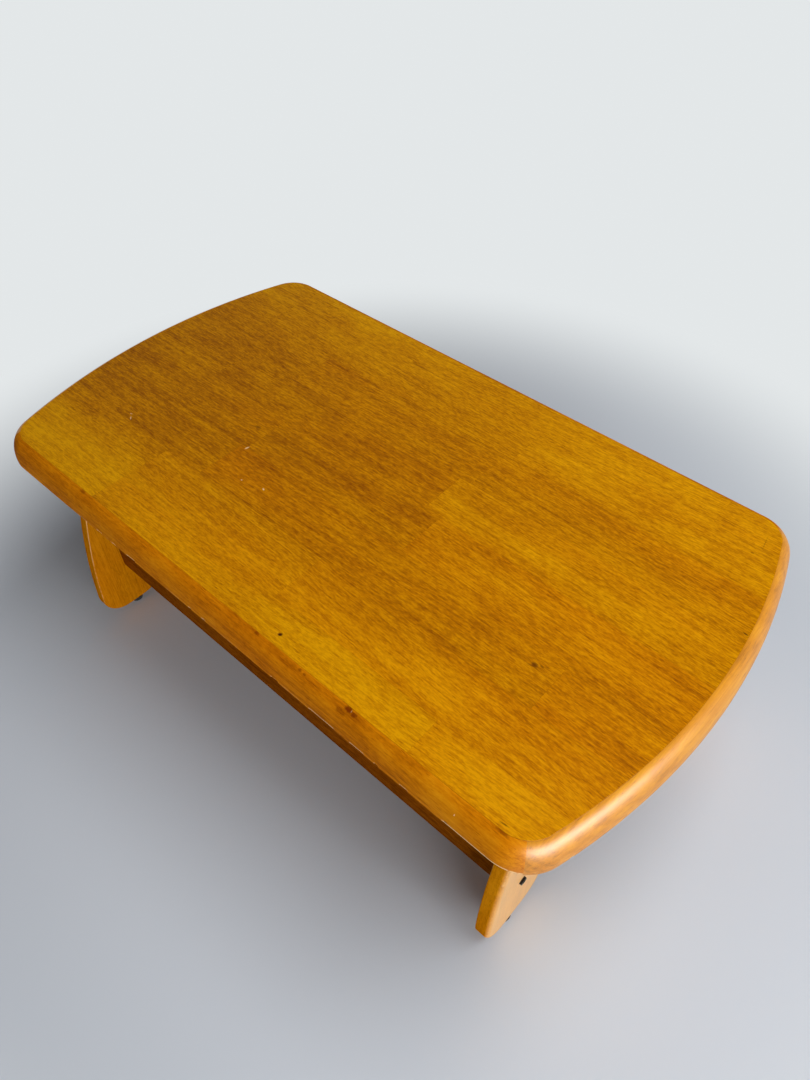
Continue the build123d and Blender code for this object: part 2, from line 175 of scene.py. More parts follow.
class Bench:
    """The node tree of one material, or of the world."""

    def __init__(self, owner: bpy.types.Material | bpy.types.World) -> None:
        """Start with an empty tree.

        Args:
            owner: The material, or the world, whose tree it is.
        """
        owner.use_nodes = True
        self.owner = owner
        self.tree = owner.node_tree
        self.tree.nodes.clear()

    @classmethod
    def of_material(cls, name: str) -> Bench:
        """The bench of a new material of that name."""
        return cls(bpy.data.materials.new(name))

    def node(self, kind: str, settings: dict[str, Any], values: dict[str | int, Any]) -> bpy.types.Node:
        """Make any node.

        Args:
            kind: The node's type name.
            settings: Its own settings, set first; "stops" gives a colour ramp's stops.
            values: What each input socket gets, by name or number: a Signal, a number or a tuple.

        Returns:
            The new node.
        """
        made = self.tree.nodes.new(kind)
        for key, value in settings.items():
            if key == "stops":
                self._set_stops(made.color_ramp, value)
            else:
                setattr(made, key, value)
        for key, value in values.items():
            if isinstance(value, Signal):
                self.tree.links.new(value.socket, made.inputs[key])
            else:
                made.inputs[key].default_value = value
        return made

    @staticmethod
    def _set_stops(ramp: bpy.types.ColorRamp, stops: Sequence[tuple[float, Colour]]) -> None:
        """Give a colour ramp its stops.

        Args:
            ramp: The ramp.
            stops: The place and the colour of each stop.
        """
        while len(ramp.elements) < len(stops):
            ramp.elements.new(0.5)
        for element, (place, colour) in zip(ramp.elements, stops):
            element.position = place
            element.color = (*colour, 1.0)

    def signal(self, node: bpy.types.Node, output: str | int = 0) -> Signal:
        """One output of a node as a Signal."""
        return Signal(self, node.outputs[output])

    def math(self, operation: str, *inputs: Value) -> Signal:
        """A Math node on one to three values."""
        return self.signal(self.node("ShaderNodeMath", {"operation": operation}, dict(enumerate(inputs))))

    def vector(self, operation: str, *inputs: Any) -> Signal:
        """A Vector Math node that gives a vector."""
        settings = {"operation": operation}
        return self.signal(self.node("ShaderNodeVectorMath", settings, dict(enumerate(inputs))))

    def mix(self, factor: Value, first: Any, second: Any, blend: str = "MIX") -> Signal:
        """Mix two colours.

        Args:
            factor: How much of the second there is, from 0 to 1.
            first: The first colour.
            second: The second colour.
            blend: Blender's name for how they mix.

        Returns:
            The mixed colour.
        """
        settings = {"data_type": "RGBA", "blend_type": blend, "clamp_factor": True}
        pair = [(*c, 1.0) if isinstance(c, tuple) else c for c in (first, second)]
        made = self.node("ShaderNodeMix", settings, {0: factor, 6: pair[0], 7: pair[1]})
        return self.signal(made, 2)

    def ramp(self, value: Signal, stops: Sequence[tuple[float, Colour]]) -> Signal:
        """A colour that follows value through the stops."""
        return self.signal(self.node("ShaderNodeValToRGB", {"stops": stops}, {"Fac": value}), "Color")

    def length(self, vector: Signal) -> Signal:
        """The length of a vector."""
        made = self.node("ShaderNodeVectorMath", {"operation": "LENGTH"}, {0: vector})
        return self.signal(made, "Value")

    def combine(self, *parts: Value) -> Signal:
        """A vector made of three values."""
        return self.signal(self.node("ShaderNodeCombineXYZ", {}, dict(enumerate(parts))))

    def split(self, vector: Signal) -> tuple[Signal, Signal, Signal]:
        """The three parts of a vector."""
        made = self.node("ShaderNodeSeparateXYZ", {}, {"Vector": vector})
        return self.signal(made, 0), self.signal(made, 1), self.signal(made, 2)

    def place(self) -> Signal:
        """The point on the surface, in the object's own frame, which is the frame of the solids."""
        return self.signal(self.node("ShaderNodeTexCoord", {}, {}), "Object")

    def layer(self, name: str) -> tuple[Signal, Signal, Signal]:
        """The three values that a mesh holds in its layer of that name."""
        made = self.node("ShaderNodeAttribute", {"attribute_name": name}, {})
        return self.split(self.signal(made, "Vector"))

    def noise(self, where: Signal, scale: float, detail: float = 2.0, roughness: float = 0.5) -> Signal:
        """Noise from 0 to 1, with its middle at 0.5."""
        values = {"Vector": where, "Scale": scale, "Detail": detail, "Roughness": roughness}
        return self.signal(self.node("ShaderNodeTexNoise", {}, values))

    def near(self, where: Signal, spot: Spot) -> Signal:
        """A soft and ragged spot.

        Args:
            where: The point on the surface.
            spot: The spot's place and reach.

        Returns:
            The spot's strength in its middle, and 0 beyond its reach.
        """
        offset = self.vector("MULTIPLY", self.vector("SUBTRACT", where, spot.place), spot.squeeze)
        ragged = (self.noise(where, SPOT_LOBES / spot.reach) - 0.5) * spot.reach
        away = self.length(offset) + ragged
        return (1.0 - away.rise(SPOT_CORE * spot.reach, spot.reach)) * spot.strength

    def shown(self) -> Signal:
        """What tells a backdrop that is only seen from one that lights the object.

        Returns:
            1 where the camera, a reflection or a clear body shows it, and 0 elsewhere.
        """
        path = self.node("ShaderNodeLightPath", {}, {})
        rays = ("Is Camera Ray", "Is Glossy Ray", "Is Transmission Ray")
        camera, glossy, clear = (self.signal(path, ray) for ray in rays)
        return camera + glossy + clear

    def finish(self, values: dict[str, Any]) -> bpy.types.Material:
        """Close the material with its surface shader.

        Args:
            values: The inputs of the Principled shader, by name.

        Returns:
            The finished material.
        """
        shader = self.node("ShaderNodeBsdfPrincipled", {}, values)
        self.node("ShaderNodeOutputMaterial", {}, {"Surface": self.signal(shader)})
        return self.owner

    def close(self, output: str, share: Signal, first: bpy.types.Node, second: bpy.types.Node) -> None:
        """Close the tree with a mix of two shaders.

        Args:
            output: The output node's type name.
            share: How much of the second shader there is, from 0 to 1.
            first: The first shader.
            second: The second shader.
        """
        shaders = {1: self.signal(first), 2: self.signal(second)}
        mixed = self.node("ShaderNodeMixShader", {}, {0: share, **shaders})
        self.node(output, {}, {"Surface": self.signal(mixed)})

    def relief(self, height: Signal, depth: float, strength: float) -> Signal:
        """A surface normal that follows height, whose full swing is depth metres."""
        values = {"Height": height, "Distance": depth, "Strength": strength}
        return self.signal(self.node("ShaderNodeBump", {}, values))


# ---- Finishes ----
class Grain(Enum):
    """The way that a board's fibres run, as the order in which X, Y and Z are read."""

    ALONG_X = (0, 1, 2)
    ALONG_Y = (1, 0, 2)
    ALONG_Z = (2, 1, 0)


@dataclass(frozen=True)
class Spot:
    """A small mark on a piece: where it is, how far it reaches, and how squeezed it is along each axis."""

    place: tuple[float, float, float]
    reach: float
    squeeze: tuple[float, float, float] = (1.0, 1.0, 1.0)
    strength: float = 1.0


@dataclass(frozen=True)
class Figure:
    """One layer of the wood's figure, as so many spots to a metre along and across the fibres.

    The detail and the roughness say how fine it goes. The band is what turns into 0 to 1, if anything does.
    """

    along: float
    across: float
    detail: float = 2.0
    roughness: float = 0.5
    band: tuple[float, float] | None = None

    def over(self, bench: Bench, place: Sequence[Signal]) -> Signal:
        """This layer on a surface.

        Args:
            bench: The material's bench.
            place: The distances along the fibres, across them in the broad face, and into the board.

        Returns:
            The layer's value, from 0 to 1.
        """
        along, across, deep_in = place
        where = bench.combine(along * self.along, across * self.across, deep_in * self.across)
        value = bench.noise(where, 1.0, self.detail, self.roughness)
        return value.rise(*self.band) if self.band else value


BEND = Figure(2.2, 7.0)
WAVER = Figure(6.0, 30.0)
CLOUD = Figure(9.0, 26.0, 3.0)
SMALL_CLOUD = Figure(20.0, 80.0)
WARMTH = Figure(4.0, 16.0, 3.0)
MOTTLE = Figure(26.0, 55.0, 3.0, 0.6, (0.25, 0.75))
FIBRE = Figure(5.0, 260.0, 2.0, 0.6, (0.2, 0.8))
STRAND = Figure(13.0, 640.0, 2.0, 0.6, (0.25, 0.75))
SPECKLE = Figure(120.0, 480.0, 2.0, 0.7, (0.2, 0.8))
PORE = Figure(95.0, 1250.0, 1.0, 0.5, (0.62, 0.78))
CLOUD_SHARE = 0.75
BEND_DEPTH = 12 * MM
WAVER_DEPTH = 6 * MM


@dataclass(frozen=True)
class PaintedEdgeLight:
    """Painted light along a long side of a panel: where the lighter band starts and ends, and how much
    lighter it is.
    """

    start: float
    end: float
    gain: float


@dataclass(frozen=True)
class Wood:
    """Lacquered wood, as solid figure: growth rings, fibres, pores and clouds of tone."""

    name: str
    pale: Colour
    middle: Colour
    deep: Colour
    grain: Grain
    ring_spacing: float = 9 * MM
    ring_strength: float = 0.25
    fibre_strength: float = 0.16
    strand_strength: float = 0.3
    speckle_strength: float = 0.6
    mottle_strength: float = 0.1
    pore_strength: float = 0.35
    cloud_strength: float = 0.8
    warmth: float = 0.55
    warm_swing: float = 1.6
    warm_tint: Colour = (1.0, 0.76, 0.6)
    pith: tuple[float, float] = (0.02, -0.16)
    relief: float = 0.05 * MM
    relief_strength: float = 0.6
    roughness: float = 0.34
    cloud_roughness: float = 0.08
    pore_roughness: float = 0.1
    worn_roughness: float = 0.3
    specular: float = 0.0
    coat: float = 0.13
    coat_roughness: float = 0.3
    # The colour of bare wood; it is also the colour of the painted light on the leg boards' outer faces.
    bare: Colour = srgb(250, 216, 158)
    # The colour of dark stains, also used for the painted shade on the panel's sides.
    stain_and_shade: Colour = srgb(84, 36, 2)
    has_staves: bool = False
    stave_contrast: float = 0.35
    stave_skew: float = 0.08
    stave_shift: tuple[float, float] = (11.3, 3.7)
    # Painted light: the panel is lighter in bands along its front and rear sides, where light falls on them.
    front_painted_light: PaintedEdgeLight = PaintedEdgeLight(145 * MM, 180 * MM, 0.15)
    rear_painted_light: PaintedEdgeLight = PaintedEdgeLight(130 * MM, 160 * MM, 0.1)
    has_marks: bool = False
    scuffs: tuple[Spot, ...] = ()
    knots: tuple[Spot, ...] = ()
    knot_colour: Colour = srgb(112, 38, 2)
    glossy_from: float | None = None
    gloss_fade: float = 40 * MM
    gloss_left: float = 0.08

    def build(self) -> bpy.types.Material:
        """Build the material.

        Returns:
            The finished material.
        """
        bench = Bench.of_material(self.name)
        place = bench.place()
        parts = bench.split(place)
        along, across, deep_in = (parts[i] for i in self.grain.value)
        lightness, stave_warmth = 0.5, 0.5
        if self.has_staves:
            lightness, stave_warmth, seed = bench.layer(STAVE_LAYER)
            across = across + (seed - 0.5) * along * self.stave_skew + seed * self.stave_shift[1]
            along = along + seed * self.stave_shift[0]
        rings, streaks, pore, cloud, warm = self._figure(bench, along, across, deep_in)
        shade = 0.5 + (rings - 0.5) * self.ring_strength + streaks
        shade = shade + (cloud - 0.5) * self.cloud_strength - pore * self.pore_strength
        shade = shade + (lightness - 0.5) * self.stave_contrast
        if self.has_staves:
            # Painted light: lighter bands along the long sides.
            for side, edge_light in ((0.0 - parts[1], self.front_painted_light), (parts[1], self.rear_painted_light)):
                shade = shade + side.rise(edge_light.start, edge_light.end) * edge_light.gain
        colour = bench.ramp(shade, [(0.0, self.deep), (0.5, self.middle), (1.0, self.pale)])
        redness = (warm - 0.5) * self.warm_swing + (0.5 - stave_warmth) + 0.5
        colour = bench.mix(redness * self.warmth, colour, self.warm_tint, "MULTIPLY")
        colour, worn = self._wear(bench, place, colour)
        rough = self.roughness + (cloud - 0.5) * self.cloud_roughness + pore * self.pore_roughness
        if worn:
            rough = rough + worn * self.worn_roughness
        return bench.finish({
            "Base Color": colour,
            "Roughness": rough,
            "Normal": bench.relief(streaks - pore, self.relief, self.relief_strength),
            "Coat Weight": self._gloss(bench, place),
            "Coat Roughness": self.coat_roughness,
            "Specular IOR Level": self.specular,
        })

    def _figure(self, bench: Bench, along: Signal, across: Signal, deep_in: Signal) -> tuple[Signal, ...]:
        """The wood's figure.

        Args:
            bench: The material's bench.
            along: The distance along the fibres.
            across: The distance across them, in the broad face.
            deep_in: The distance across them, into the board.

        Returns:
            Rings from 0 to 1, streaks about 0, and pores, clouds and redness from 0 to 1.
        """
        straight = (along, across, deep_in)
        bent = across + (BEND.over(bench, straight) - 0.5) * BEND_DEPTH
        place = (along, bent, deep_in)
        cloud = CLOUD.over(bench, place) * CLOUD_SHARE + SMALL_CLOUD.over(bench, place) * (1 - CLOUD_SHARE)
        from_pith = ((bent - self.pith[0]) ** 2.0 + (deep_in - self.pith[1]) ** 2.0).root()
        waver = (WAVER.over(bench, straight) - 0.5) * WAVER_DEPTH
        ring = (((from_pith + waver) * (2 * math.pi / self.ring_spacing)).sine() * 0.5 + 0.5) ** 2.0
        streaks: Value = 0.0
        for figure, strength in (
            (FIBRE, self.fibre_strength),
            (STRAND, self.strand_strength),
            (SPECKLE, self.speckle_strength),
            (MOTTLE, self.mottle_strength),
        ):
            streaks = streaks + (figure.over(bench, place) - 0.5) * strength
        return 1.0 - ring, streaks, PORE.over(bench, place), cloud, WARMTH.over(bench, place)

    def _gloss(self, bench: Bench, place: Signal) -> Value:
        """The weight of the lacquer coat: less on dull places, and where X is below glossy_from.

        Args:
            bench: The material's bench.
            place: The point on the surface.

        Returns:
            The weight, from 0 to 1.
        """
        coat: Value = self.coat
        if self.has_marks:
            coat = (1.0 - bench.layer(MARK_LAYER)[2]) * coat
        if self.glossy_from is not None:
            glossy = bench.split(place)[0].rise(self.glossy_from, self.glossy_from + self.gloss_fade)
            coat = (glossy * (1 - self.gloss_left) + self.gloss_left) * coat
        return coat

    def _wear(self, bench: Bench, place: Signal, colour: Signal) -> tuple[Signal, Signal | None]:
        """Lay bare wood and dark marks over the colour, with the painted light and painted shade that the
        marks also carry.

        Args:
            bench: The material's bench.
            place: The point on the surface.
            colour: The colour of the sound surface.

        Returns:
            The colour, and how bare the wood is, or None where this finish has no marks.
        """
        worn = None
        for knot in self.knots:
            colour = bench.mix(bench.near(place, knot), colour, self.knot_colour)
        if self.has_marks:
            # Bare also holds painted light on the leg boards' outer faces; dark also holds painted shade on
            # the panel's sides.
            bare, dark, _ = bench.layer(MARK_LAYER)
            colour = bench.mix(dark, colour, self.stain_and_shade)
            colour = bench.mix(bare, colour, self.bare)
            worn = bare
        for spot in self.scuffs:
            shape = bench.near(place, spot)
            colour = bench.mix(shape, colour, self.bare)
            worn = shape if worn is None else worn + shape
        return colour, worn


@dataclass(frozen=True)
class PlatedSteel:
    """Plated steel, with a fine grain and dull blotches."""

    name: str
    colour: Colour
    roughness: float
    grains: float = 900.0
    grain_relief: float = 0.02 * MM
    grain_strength: float = 0.5
    grain_roughness: float = 0.2
    blotches: float = 160.0
    blotch_band: tuple[float, float] = (0.35, 0.7)
    blotch_shade: float = 0.55

    def build(self) -> bpy.types.Material:
        """Build the material.

        Returns:
            The finished material.
        """
        bench = Bench.of_material(self.name)
        place = bench.place()
        grain = bench.noise(place, self.grains, 3.0)
        blotch = bench.noise(place, self.blotches, 2.0)
        shade = tuple(self.blotch_shade * channel for channel in self.colour)
        return bench.finish({
            "Base Color": bench.mix(blotch.rise(*self.blotch_band), self.colour, shade),
            "Roughness": self.roughness + (grain - 0.5) * self.grain_roughness,
            "Normal": bench.relief(grain, self.grain_relief, self.grain_strength),
            "Metallic": 1.0,
        })


@dataclass(frozen=True)
class Plastic:
    """Black moulded plastic with a fine grain, dusty near the floor."""

    name: str
    colour: Colour
    dust: Colour
    dust_height: float = 4 * MM
    dust_specks: float = 500.0
    dust_strength: float = 0.5
    grains: float = 2600.0
    grain_relief: float = 0.03 * MM
    grain_strength: float = 0.6
    grain_roughness: float = 0.12
    roughness: float = 0.5

    def build(self) -> bpy.types.Material:
        """Build the material.

        Returns:
            The finished material.
        """
        bench = Bench.of_material(self.name)
        place = bench.place()
        grain = bench.noise(place, self.grains, 2.0)
        height = bench.split(place)[2]
        specks = bench.noise(place, self.dust_specks, 3.0)
        dusty = (1.0 - height.rise(0.0, self.dust_height)) * specks * self.dust_strength
        return bench.finish({
            "Base Color": bench.mix(dusty, self.colour, self.dust),
            "Roughness": self.roughness + grain * self.grain_roughness,
            "Normal": bench.relief(grain, self.grain_relief, self.grain_strength),
        })


STAVED_WOOD = Wood(
    name="staved_panel",
    pale=srgb(232, 165, 4),
    middle=srgb(200, 127, 0),
    deep=srgb(146, 80, 0),
    grain=Grain.ALONG_X,
    ring_spacing=17 * MM,
    ring_strength=0.08,
    has_staves=True,
    has_marks=True,
)
FRONT_LIP_WOOD = Wood(
    name="long_lipping",
    pale=srgb(238, 162, 20),
    middle=srgb(211, 127, 4),
    deep=srgb(150, 74, 0),
    grain=Grain.ALONG_X,
    ring_strength=0.08,
    strand_strength=0.2,
    speckle_strength=0.3,
    mottle_strength=0.3,
    roughness=0.36,
    coat=0.85,
    coat_roughness=0.4,
    glossy_from=0.375,
    has_marks=True,
    scuffs=(
        Spot((0.327, -0.2516, 0.3427), 1.5 * MM, (2.6, 1.0, 0.8)),
        Spot((0.1965, -0.2425, 0.3539), 1.0 * MM, (1.6, 0.5, 1.0), 0.35),
    ),
    knots=(
        Spot((0.0645, -0.2412, 0.3545), 2.6 * MM, (0.6, 1.0, 1.0), 0.6),
        Spot((0.128, -0.2428, 0.3538), 2.2 * MM, (0.7, 1.0, 1.0), 0.6),
        Spot((0.1345, -0.2432, 0.3535), 1.8 * MM, (0.7, 1.0, 1.0), 0.55),
        Spot((0.1935, -0.2423, 0.3539), 4.4 * MM, (0.7, 1.0, 1.0), 0.85),
        Spot((0.2005, -0.2432, 0.3534), 3.4 * MM, (0.7, 1.0, 1.0), 0.75),
        Spot((0.1865, -0.2475, 0.3495), 3.6 * MM, (0.4, 1.2, 1.2), 0.5),
        Spot((-0.238, -0.2418, 0.3543), 3.0 * MM, (0.5, 1.0, 1.0), 0.5),
        Spot((0.369, -0.2408, 0.3547), 3.0 * MM, (0.35, 1.3, 1.0), 0.6),
        Spot((0.321, -0.255, 0.3244), 1.9 * MM, (0.8, 1.0, 1.0), 1.0),
    ),
)
# The end lippings are the same wood as the long ones; their paler, yellower colours are painted light, where
# the ends face the window lamp.
END_LIP_WOOD = Wood(
    name="end_lipping",
    pale=srgb(232, 170, 22),
    middle=srgb(205, 136, 6),
    deep=srgb(150, 90, 2),
    grain=Grain.ALONG_Y,
    ring_spacing=6.0 * MM,
    ring_strength=0.12,
    fibre_strength=0.24,
    strand_strength=0.2,
    speckle_strength=0.12,
    mottle_strength=0.1,
    roughness=0.36,
    coat=0.85,
    coat_roughness=0.4,
    pith=(0.36, 0.30),
    has_marks=True,
)
LEG_WOOD = Wood(
    name="leg_board",
    pale=srgb(234, 162, 26),
    middle=srgb(208, 131, 8),
    deep=srgb(156, 86, 0),
    grain=Grain.ALONG_Z,
    fibre_strength=0.2,
    strand_strength=0.2,
    speckle_strength=0.25,
    mottle_strength=0.12,
    cloud_strength=0.5,
    roughness=0.4,
    coat=0.6,
    ring_spacing=14 * MM,
    ring_strength=0.07,
    has_marks=True,
    scuffs=(
        Spot((0.3627, -0.2292, 0.1065), 2.6 * MM),
        Spot((0.3634, -0.2306, 0.082), 3.2 * MM, (0.5, 1.0, 1.6)),
    ),
)
DARK_WOOD = Wood(
    name="dark_rail",
    pale=srgb(166, 96, 16),
    middle=srgb(134, 72, 8),
    deep=srgb(90, 42, 2),
    grain=Grain.ALONG_X,
    ring_strength=0.1,
    roughness=0.6,
    coat=0.0,
)
CROSS_RAIL_WOOD = replace(DARK_WOOD, name="cross_rail", grain=Grain.ALONG_Y)
DOWEL_WOOD = Wood(
    name="dowel_beech",
    pale=srgb(226, 196, 148),
    middle=srgb(208, 172, 118),
    deep=srgb(172, 130, 80),
    grain=Grain.ALONG_X,
    coat=0.0,
    roughness=0.55,
)
BOLT_STEEL = PlatedSteel("bolt_steel", (0.030, 0.029, 0.028), 0.42)
INSERT_STEEL = PlatedSteel("insert_metal", (0.60, 0.57, 0.50), 0.34)
FOOT_PLASTIC = Plastic("foot_plastic", (0.012, 0.012, 0.013), (0.16, 0.15, 0.14))


# ---- Meshes ----
BORE_SIDES = 32


def sharpen(mesh: bpy.types.Mesh, crisp: float) -> None:
    """Shade a mesh smooth, but for edges that turn by more than crisp degrees."""
    mesh.polygons.foreach_set("use_smooth", [True] * len(mesh.polygons))
    mesh.set_sharp_from_angle(angle=math.radians(crisp))


@dataclass(frozen=True)
class Bore:
    """A stepped bore: its mouth, the way in, and how deep each step ends and its radius."""

    start: tuple[float, float, float]
    way: tuple[float, float, float]
    steps: tuple[tuple[float, float], ...]


class Draft:
    """A mesh while it is being drawn."""

    def __init__(self) -> None:
        """Start with no points and no faces."""
        self.points: list[tuple[float, float, float]] = []
        self.faces: list[tuple[int, ...]] = []
        self.marks: list[tuple[float, float, float]] = []
        self.staves: list[tuple[float, float, float]] = []

    def point(self, place: Sequence[float], mark: tuple[float, float, float] = (0.0, 0.0, 0.0)) -> int:
        """Add a point.

        Args:
            place: Where it is.
            mark: How bare, how dark and how dull the surface is there; the first value also carries painted
                light on the leg boards' outer faces, and the second painted shade on the panel's sides.

        Returns:
            The point's number.
        """
        self.points.append(tuple(place))
        self.marks.append(mark)
        return len(self.points) - 1

    def face(self, corners: Sequence[int], stave: tuple[float, float, float] = (0.5, 0.5, 0.0)) -> None:
        """Add a face with its stave's values."""
        self.faces.append(tuple(corners))
        self.staves.append(stave)

    def piece(self, name: str, material: bpy.types.Material, crisp: float) -> bpy.types.Object:
        """Make the object.

        Args:
            name: The piece's name.
            material: Its finish.
            crisp: The angle in degrees above which an edge stays sharp.

        Returns:
            The new object.
        """
        mesh = bpy.data.meshes.new(name)
        mesh.from_pydata(self.points, [], self.faces)
        marks = (self.marks[corner] for face in self.faces for corner in face)
        staves = (stave for stave, face in zip(self.staves, self.faces) for _ in face)
        for layer_name, values in ((MARK_LAYER, marks), (STAVE_LAYER, staves)):
            layer = mesh.attributes.new(layer_name, "FLOAT_VECTOR", "CORNER")
            layer.data.foreach_set("vector", [part for value in values for part in value])
        mesh.materials.append(material)
        sharpen(mesh, crisp)
        made = bpy.data.objects.new(name, mesh)
        bpy.context.scene.collection.objects.link(made)
        return made

    def turned(self, bore: Bore) -> None:
        """Add the closed solid of revolution that fills a bore, and stands a little out of its mouth.

        Args:
            bore: The bore to fill.
        """
        way = Vector(bore.way)
        across = way.orthogonal().normalized()
        side = way.cross(across)
        heads = [(-MM, bore.steps[0][1])]
        for (depth, radius), following in zip(bore.steps, (*bore.steps[1:], None)):
            heads.append((depth, radius))
            if following:
                heads.append((depth, following[1]))
        rings = []
        for depth, radius in heads:
            ring = []
            for i in range(BORE_SIDES):
                angle = 2 * math.pi * i / BORE_SIDES
                out = across * (radius * math.cos(angle)) + side * (radius * math.sin(angle))
                ring.append(self.point(Vector(bore.start) + way * depth + out))
            rings.append(ring)
        for near, far in zip(rings, rings[1:]):
            for i in range(BORE_SIDES):
                j = (i + 1) % BORE_SIDES
                self.face((near[i], near[j], far[j], far[i]))
        self.face(tuple(reversed(rings[0])))
        self.face(tuple(rings[-1]))


@dataclass(frozen=True)
class Station:
    """One place on an outline: the point, the way out, and the distance from the start where it matters."""

    point: Vector
    outward: Vector
    travel: float = 0.0


def arc(centre: Sequence[float], radius: float, start: float, end: float, step: float) -> list[Station]:
    """Stations on an arc.

    Args:
        centre: The arc's centre.
        radius: Its radius.
        start: The angle it starts at.
        end: The angle it ends at.
        step: The spacing of the stations.

    Returns:
        The stations, both ends included.
    """
    count = max(2, math.ceil(abs(end - start) * radius / step))
    made = []
    for i in range(count + 1):
        angle = start + (end - start) * i / count
        outward = Vector((math.cos(angle), math.sin(angle)))
        made.append(Station(Vector(centre) + outward * radius, outward))
    return made


def circle_through(first: Vector, second: Vector, third: Vector) -> tuple[Vector, float]:
    """The circle through three points.

    Args:
        first: One point.
        second: Another.
        third: The third.

    Returns:
        The circle's centre and its radius.
    """
    points = (first, second, third)
    ring = list(zip(points, (second, third, first), (third, first, second)))
    twice = 2 * sum(p.x * (q.y - r.y) for p, q, r in ring)
    centre_x = sum(p.length_squared * (q.y - r.y) for p, q, r in ring) / twice
    centre_y = sum(p.length_squared * (r.x - q.x) for p, q, r in ring) / twice
    centre = Vector((centre_x, centre_y))
    return centre, (first - centre).length


@dataclass(frozen=True)
class TopPlan:
    """The plan outline of the top: two straight sides, two bowed ends and four round corners."""

    half_length: float
    half_width: float
    end_radius: float = 720 * MM
    corner_radius: float = 50 * MM

    @property
    def end_x(self) -> float:
        """X of the centre of the right-hand bow."""
        return self.half_length - self.end_radius

    @property
    def corner_y(self) -> float:
        """Y of the centre of a rear corner arc."""
        return self.half_width - self.corner_radius

    @property
    def corner_x(self) -> float:
        """X of the centre of a right-hand corner arc."""
        return self.end_x + math.sqrt((self.end_radius - self.corner_radius) ** 2 - self.corner_y**2)

    @property
    def bow_angle(self) -> float:
        """Half of the angle that the bow spans."""
        return math.atan2(self.corner_y, self.corner_x - self.end_x)

    @property
    def mitre_angle(self) -> float:
        """How far round a corner the mitre lies, from the long side."""
        return (math.pi / 2 - self.bow_angle) / 2

    def long_side(self, step: float) -> list[Station]:
        """Stations along the front.

        Args:
            step: Their spacing.

        Returns:
            The stations, from the left mitre to the right one.
        """
        down = -math.pi / 2
        right = arc((self.corner_x, -self.corner_y), self.corner_radius, down, down + self.mitre_angle, step)
        count = math.ceil(2 * self.corner_x / step)
        line = [
            Station(Vector((self.corner_x * (2 * i / count - 1), -self.half_width)), Vector((0, -1)))
            for i in range(1, count)
        ]
        mirror = Matrix(((-1, 0), (0, 1)))
        left = [Station(mirror @ s.point, mirror @ s.outward) for s in right]
        return self._measured([*reversed(left), *line, *right])

    def right_end(self, step: float) -> list[Station]:
        """Stations along the right end.

        Args:
            step: Their spacing.

        Returns:
            The stations, from the front mitre to the rear one.
        """
        mitre = math.pi / 2 - self.mitre_angle
        front = arc((self.corner_x, -self.corner_y), self.corner_radius, -mitre, -self.bow_angle, step)
        bow = arc((self.end_x, 0), self.end_radius, -self.bow_angle, self.bow_angle, step)
        rear = arc((self.corner_x, self.corner_y), self.corner_radius, self.bow_angle, mitre, step)
        return self._measured([*front[:-1], *bow, *rear[1:]])

    @staticmethod
    def _measured(stations: list[Station]) -> list[Station]:
        """Measure the way along some stations.

        Args:
            stations: The stations.

        Returns:
            The same stations, with the distance run from the first.
        """
        made, travel = [], 0.0
        for i, station in enumerate(stations):
            if i:
                travel += (station.point - stations[i - 1].point).length
            made.append(Station(station.point, station.outward, travel))
        return made

    def depth(self, x: float, y: float) -> float:
        """How deep a point lies inside the outline.

        Args:
            x: The point's X.
            y: The point's Y.

        Returns:
            The distance to the outline, below 0 outside it.
        """
        x, y = abs(x), abs(y)
        if math.atan2(y, x - self.end_x) < self.bow_angle and x > self.corner_x:
            return self.end_radius - math.hypot(x - self.end_x, y)
        if x > self.corner_x and y > self.corner_y:
            return self.corner_radius - math.hypot(x - self.corner_x, y - self.corner_y)
        side = self.half_width - y
        return min(side, self.end_radius - math.hypot(x - self.end_x, y))


# ---- Top ----
@dataclass(frozen=True)
class Rub:
    """A stretch of the lower arris that knocks have bared: where it starts and ends, and how deep it is."""

    start: float
    end: float
    depth: float


@dataclass(frozen=True)
class LipSection:
    """The section of a lipping; depth runs inwards from the outer face, height is above the floor."""

    top: float
    face: float = 15 * MM
    drop: float = 30 * MM
    crease_reach: float = 3.5 * MM
    thickness: float = 35 * MM
    panel: float = 21 * MM
    inner: float = 40 * MM
    arris: float = 1.2 * MM
    crease_ease: float = 0.25 * MM
    round_steps: int = 24
    arris_steps: int = 4
    face_rises: tuple[float, ...] = (4.2 * MM, 3.4 * MM, 2.3 * MM)
    floor_depths: tuple[float, ...] = (5 * MM, 12 * MM, 25 * MM)
    round_share: float = 0.98
    wear_reach: float = 2.6 * MM
    wear_fade: float = 1.6 * MM

    def outline(self) -> list[tuple[float, float]]:
        """Draw the closed section.

        Returns:
            Its points as depth and height, from the crease outwards and down.
        """
        reach = self.face + self.crease_reach
        rise = math.acos(self.crease_reach / reach)
        half_height = self.drop / math.sin(rise)
        made = [(self.face, self.top - self.crease_ease)]
        for i in range(self.round_steps + 1):
            angle = rise * self.round_share * (1 - i / self.round_steps)
            made.append((reach * (1 - math.cos(angle)), self.top - self.drop + half_height * math.sin(angle)))
        bottom = self.top - self.thickness
        made += [(0.0, bottom + height) for height in self.face_rises]
        for i in range(self.arris_steps + 1):
            angle = math.pi / 2 * i / self.arris_steps
            made.append((self.arris * (1 - math.cos(angle)), bottom + self.arris * (1 - math.sin(angle))))
        made += [(depth, bottom) for depth in (*self.floor_depths, self.inner)]
        return [*made, (self.inner, self.top - self.panel), (self.face, self.top - self.panel)]

    def wear_share(self, depth: float, height: float) -> float:
        """How near a point of the section is to the lower arris: 1 within wear_reach, then less."""
        away = math.hypot(depth, height - (self.top - self.thickness))
        return 1 - smooth_step((away - self.wear_reach) / self.wear_fade)


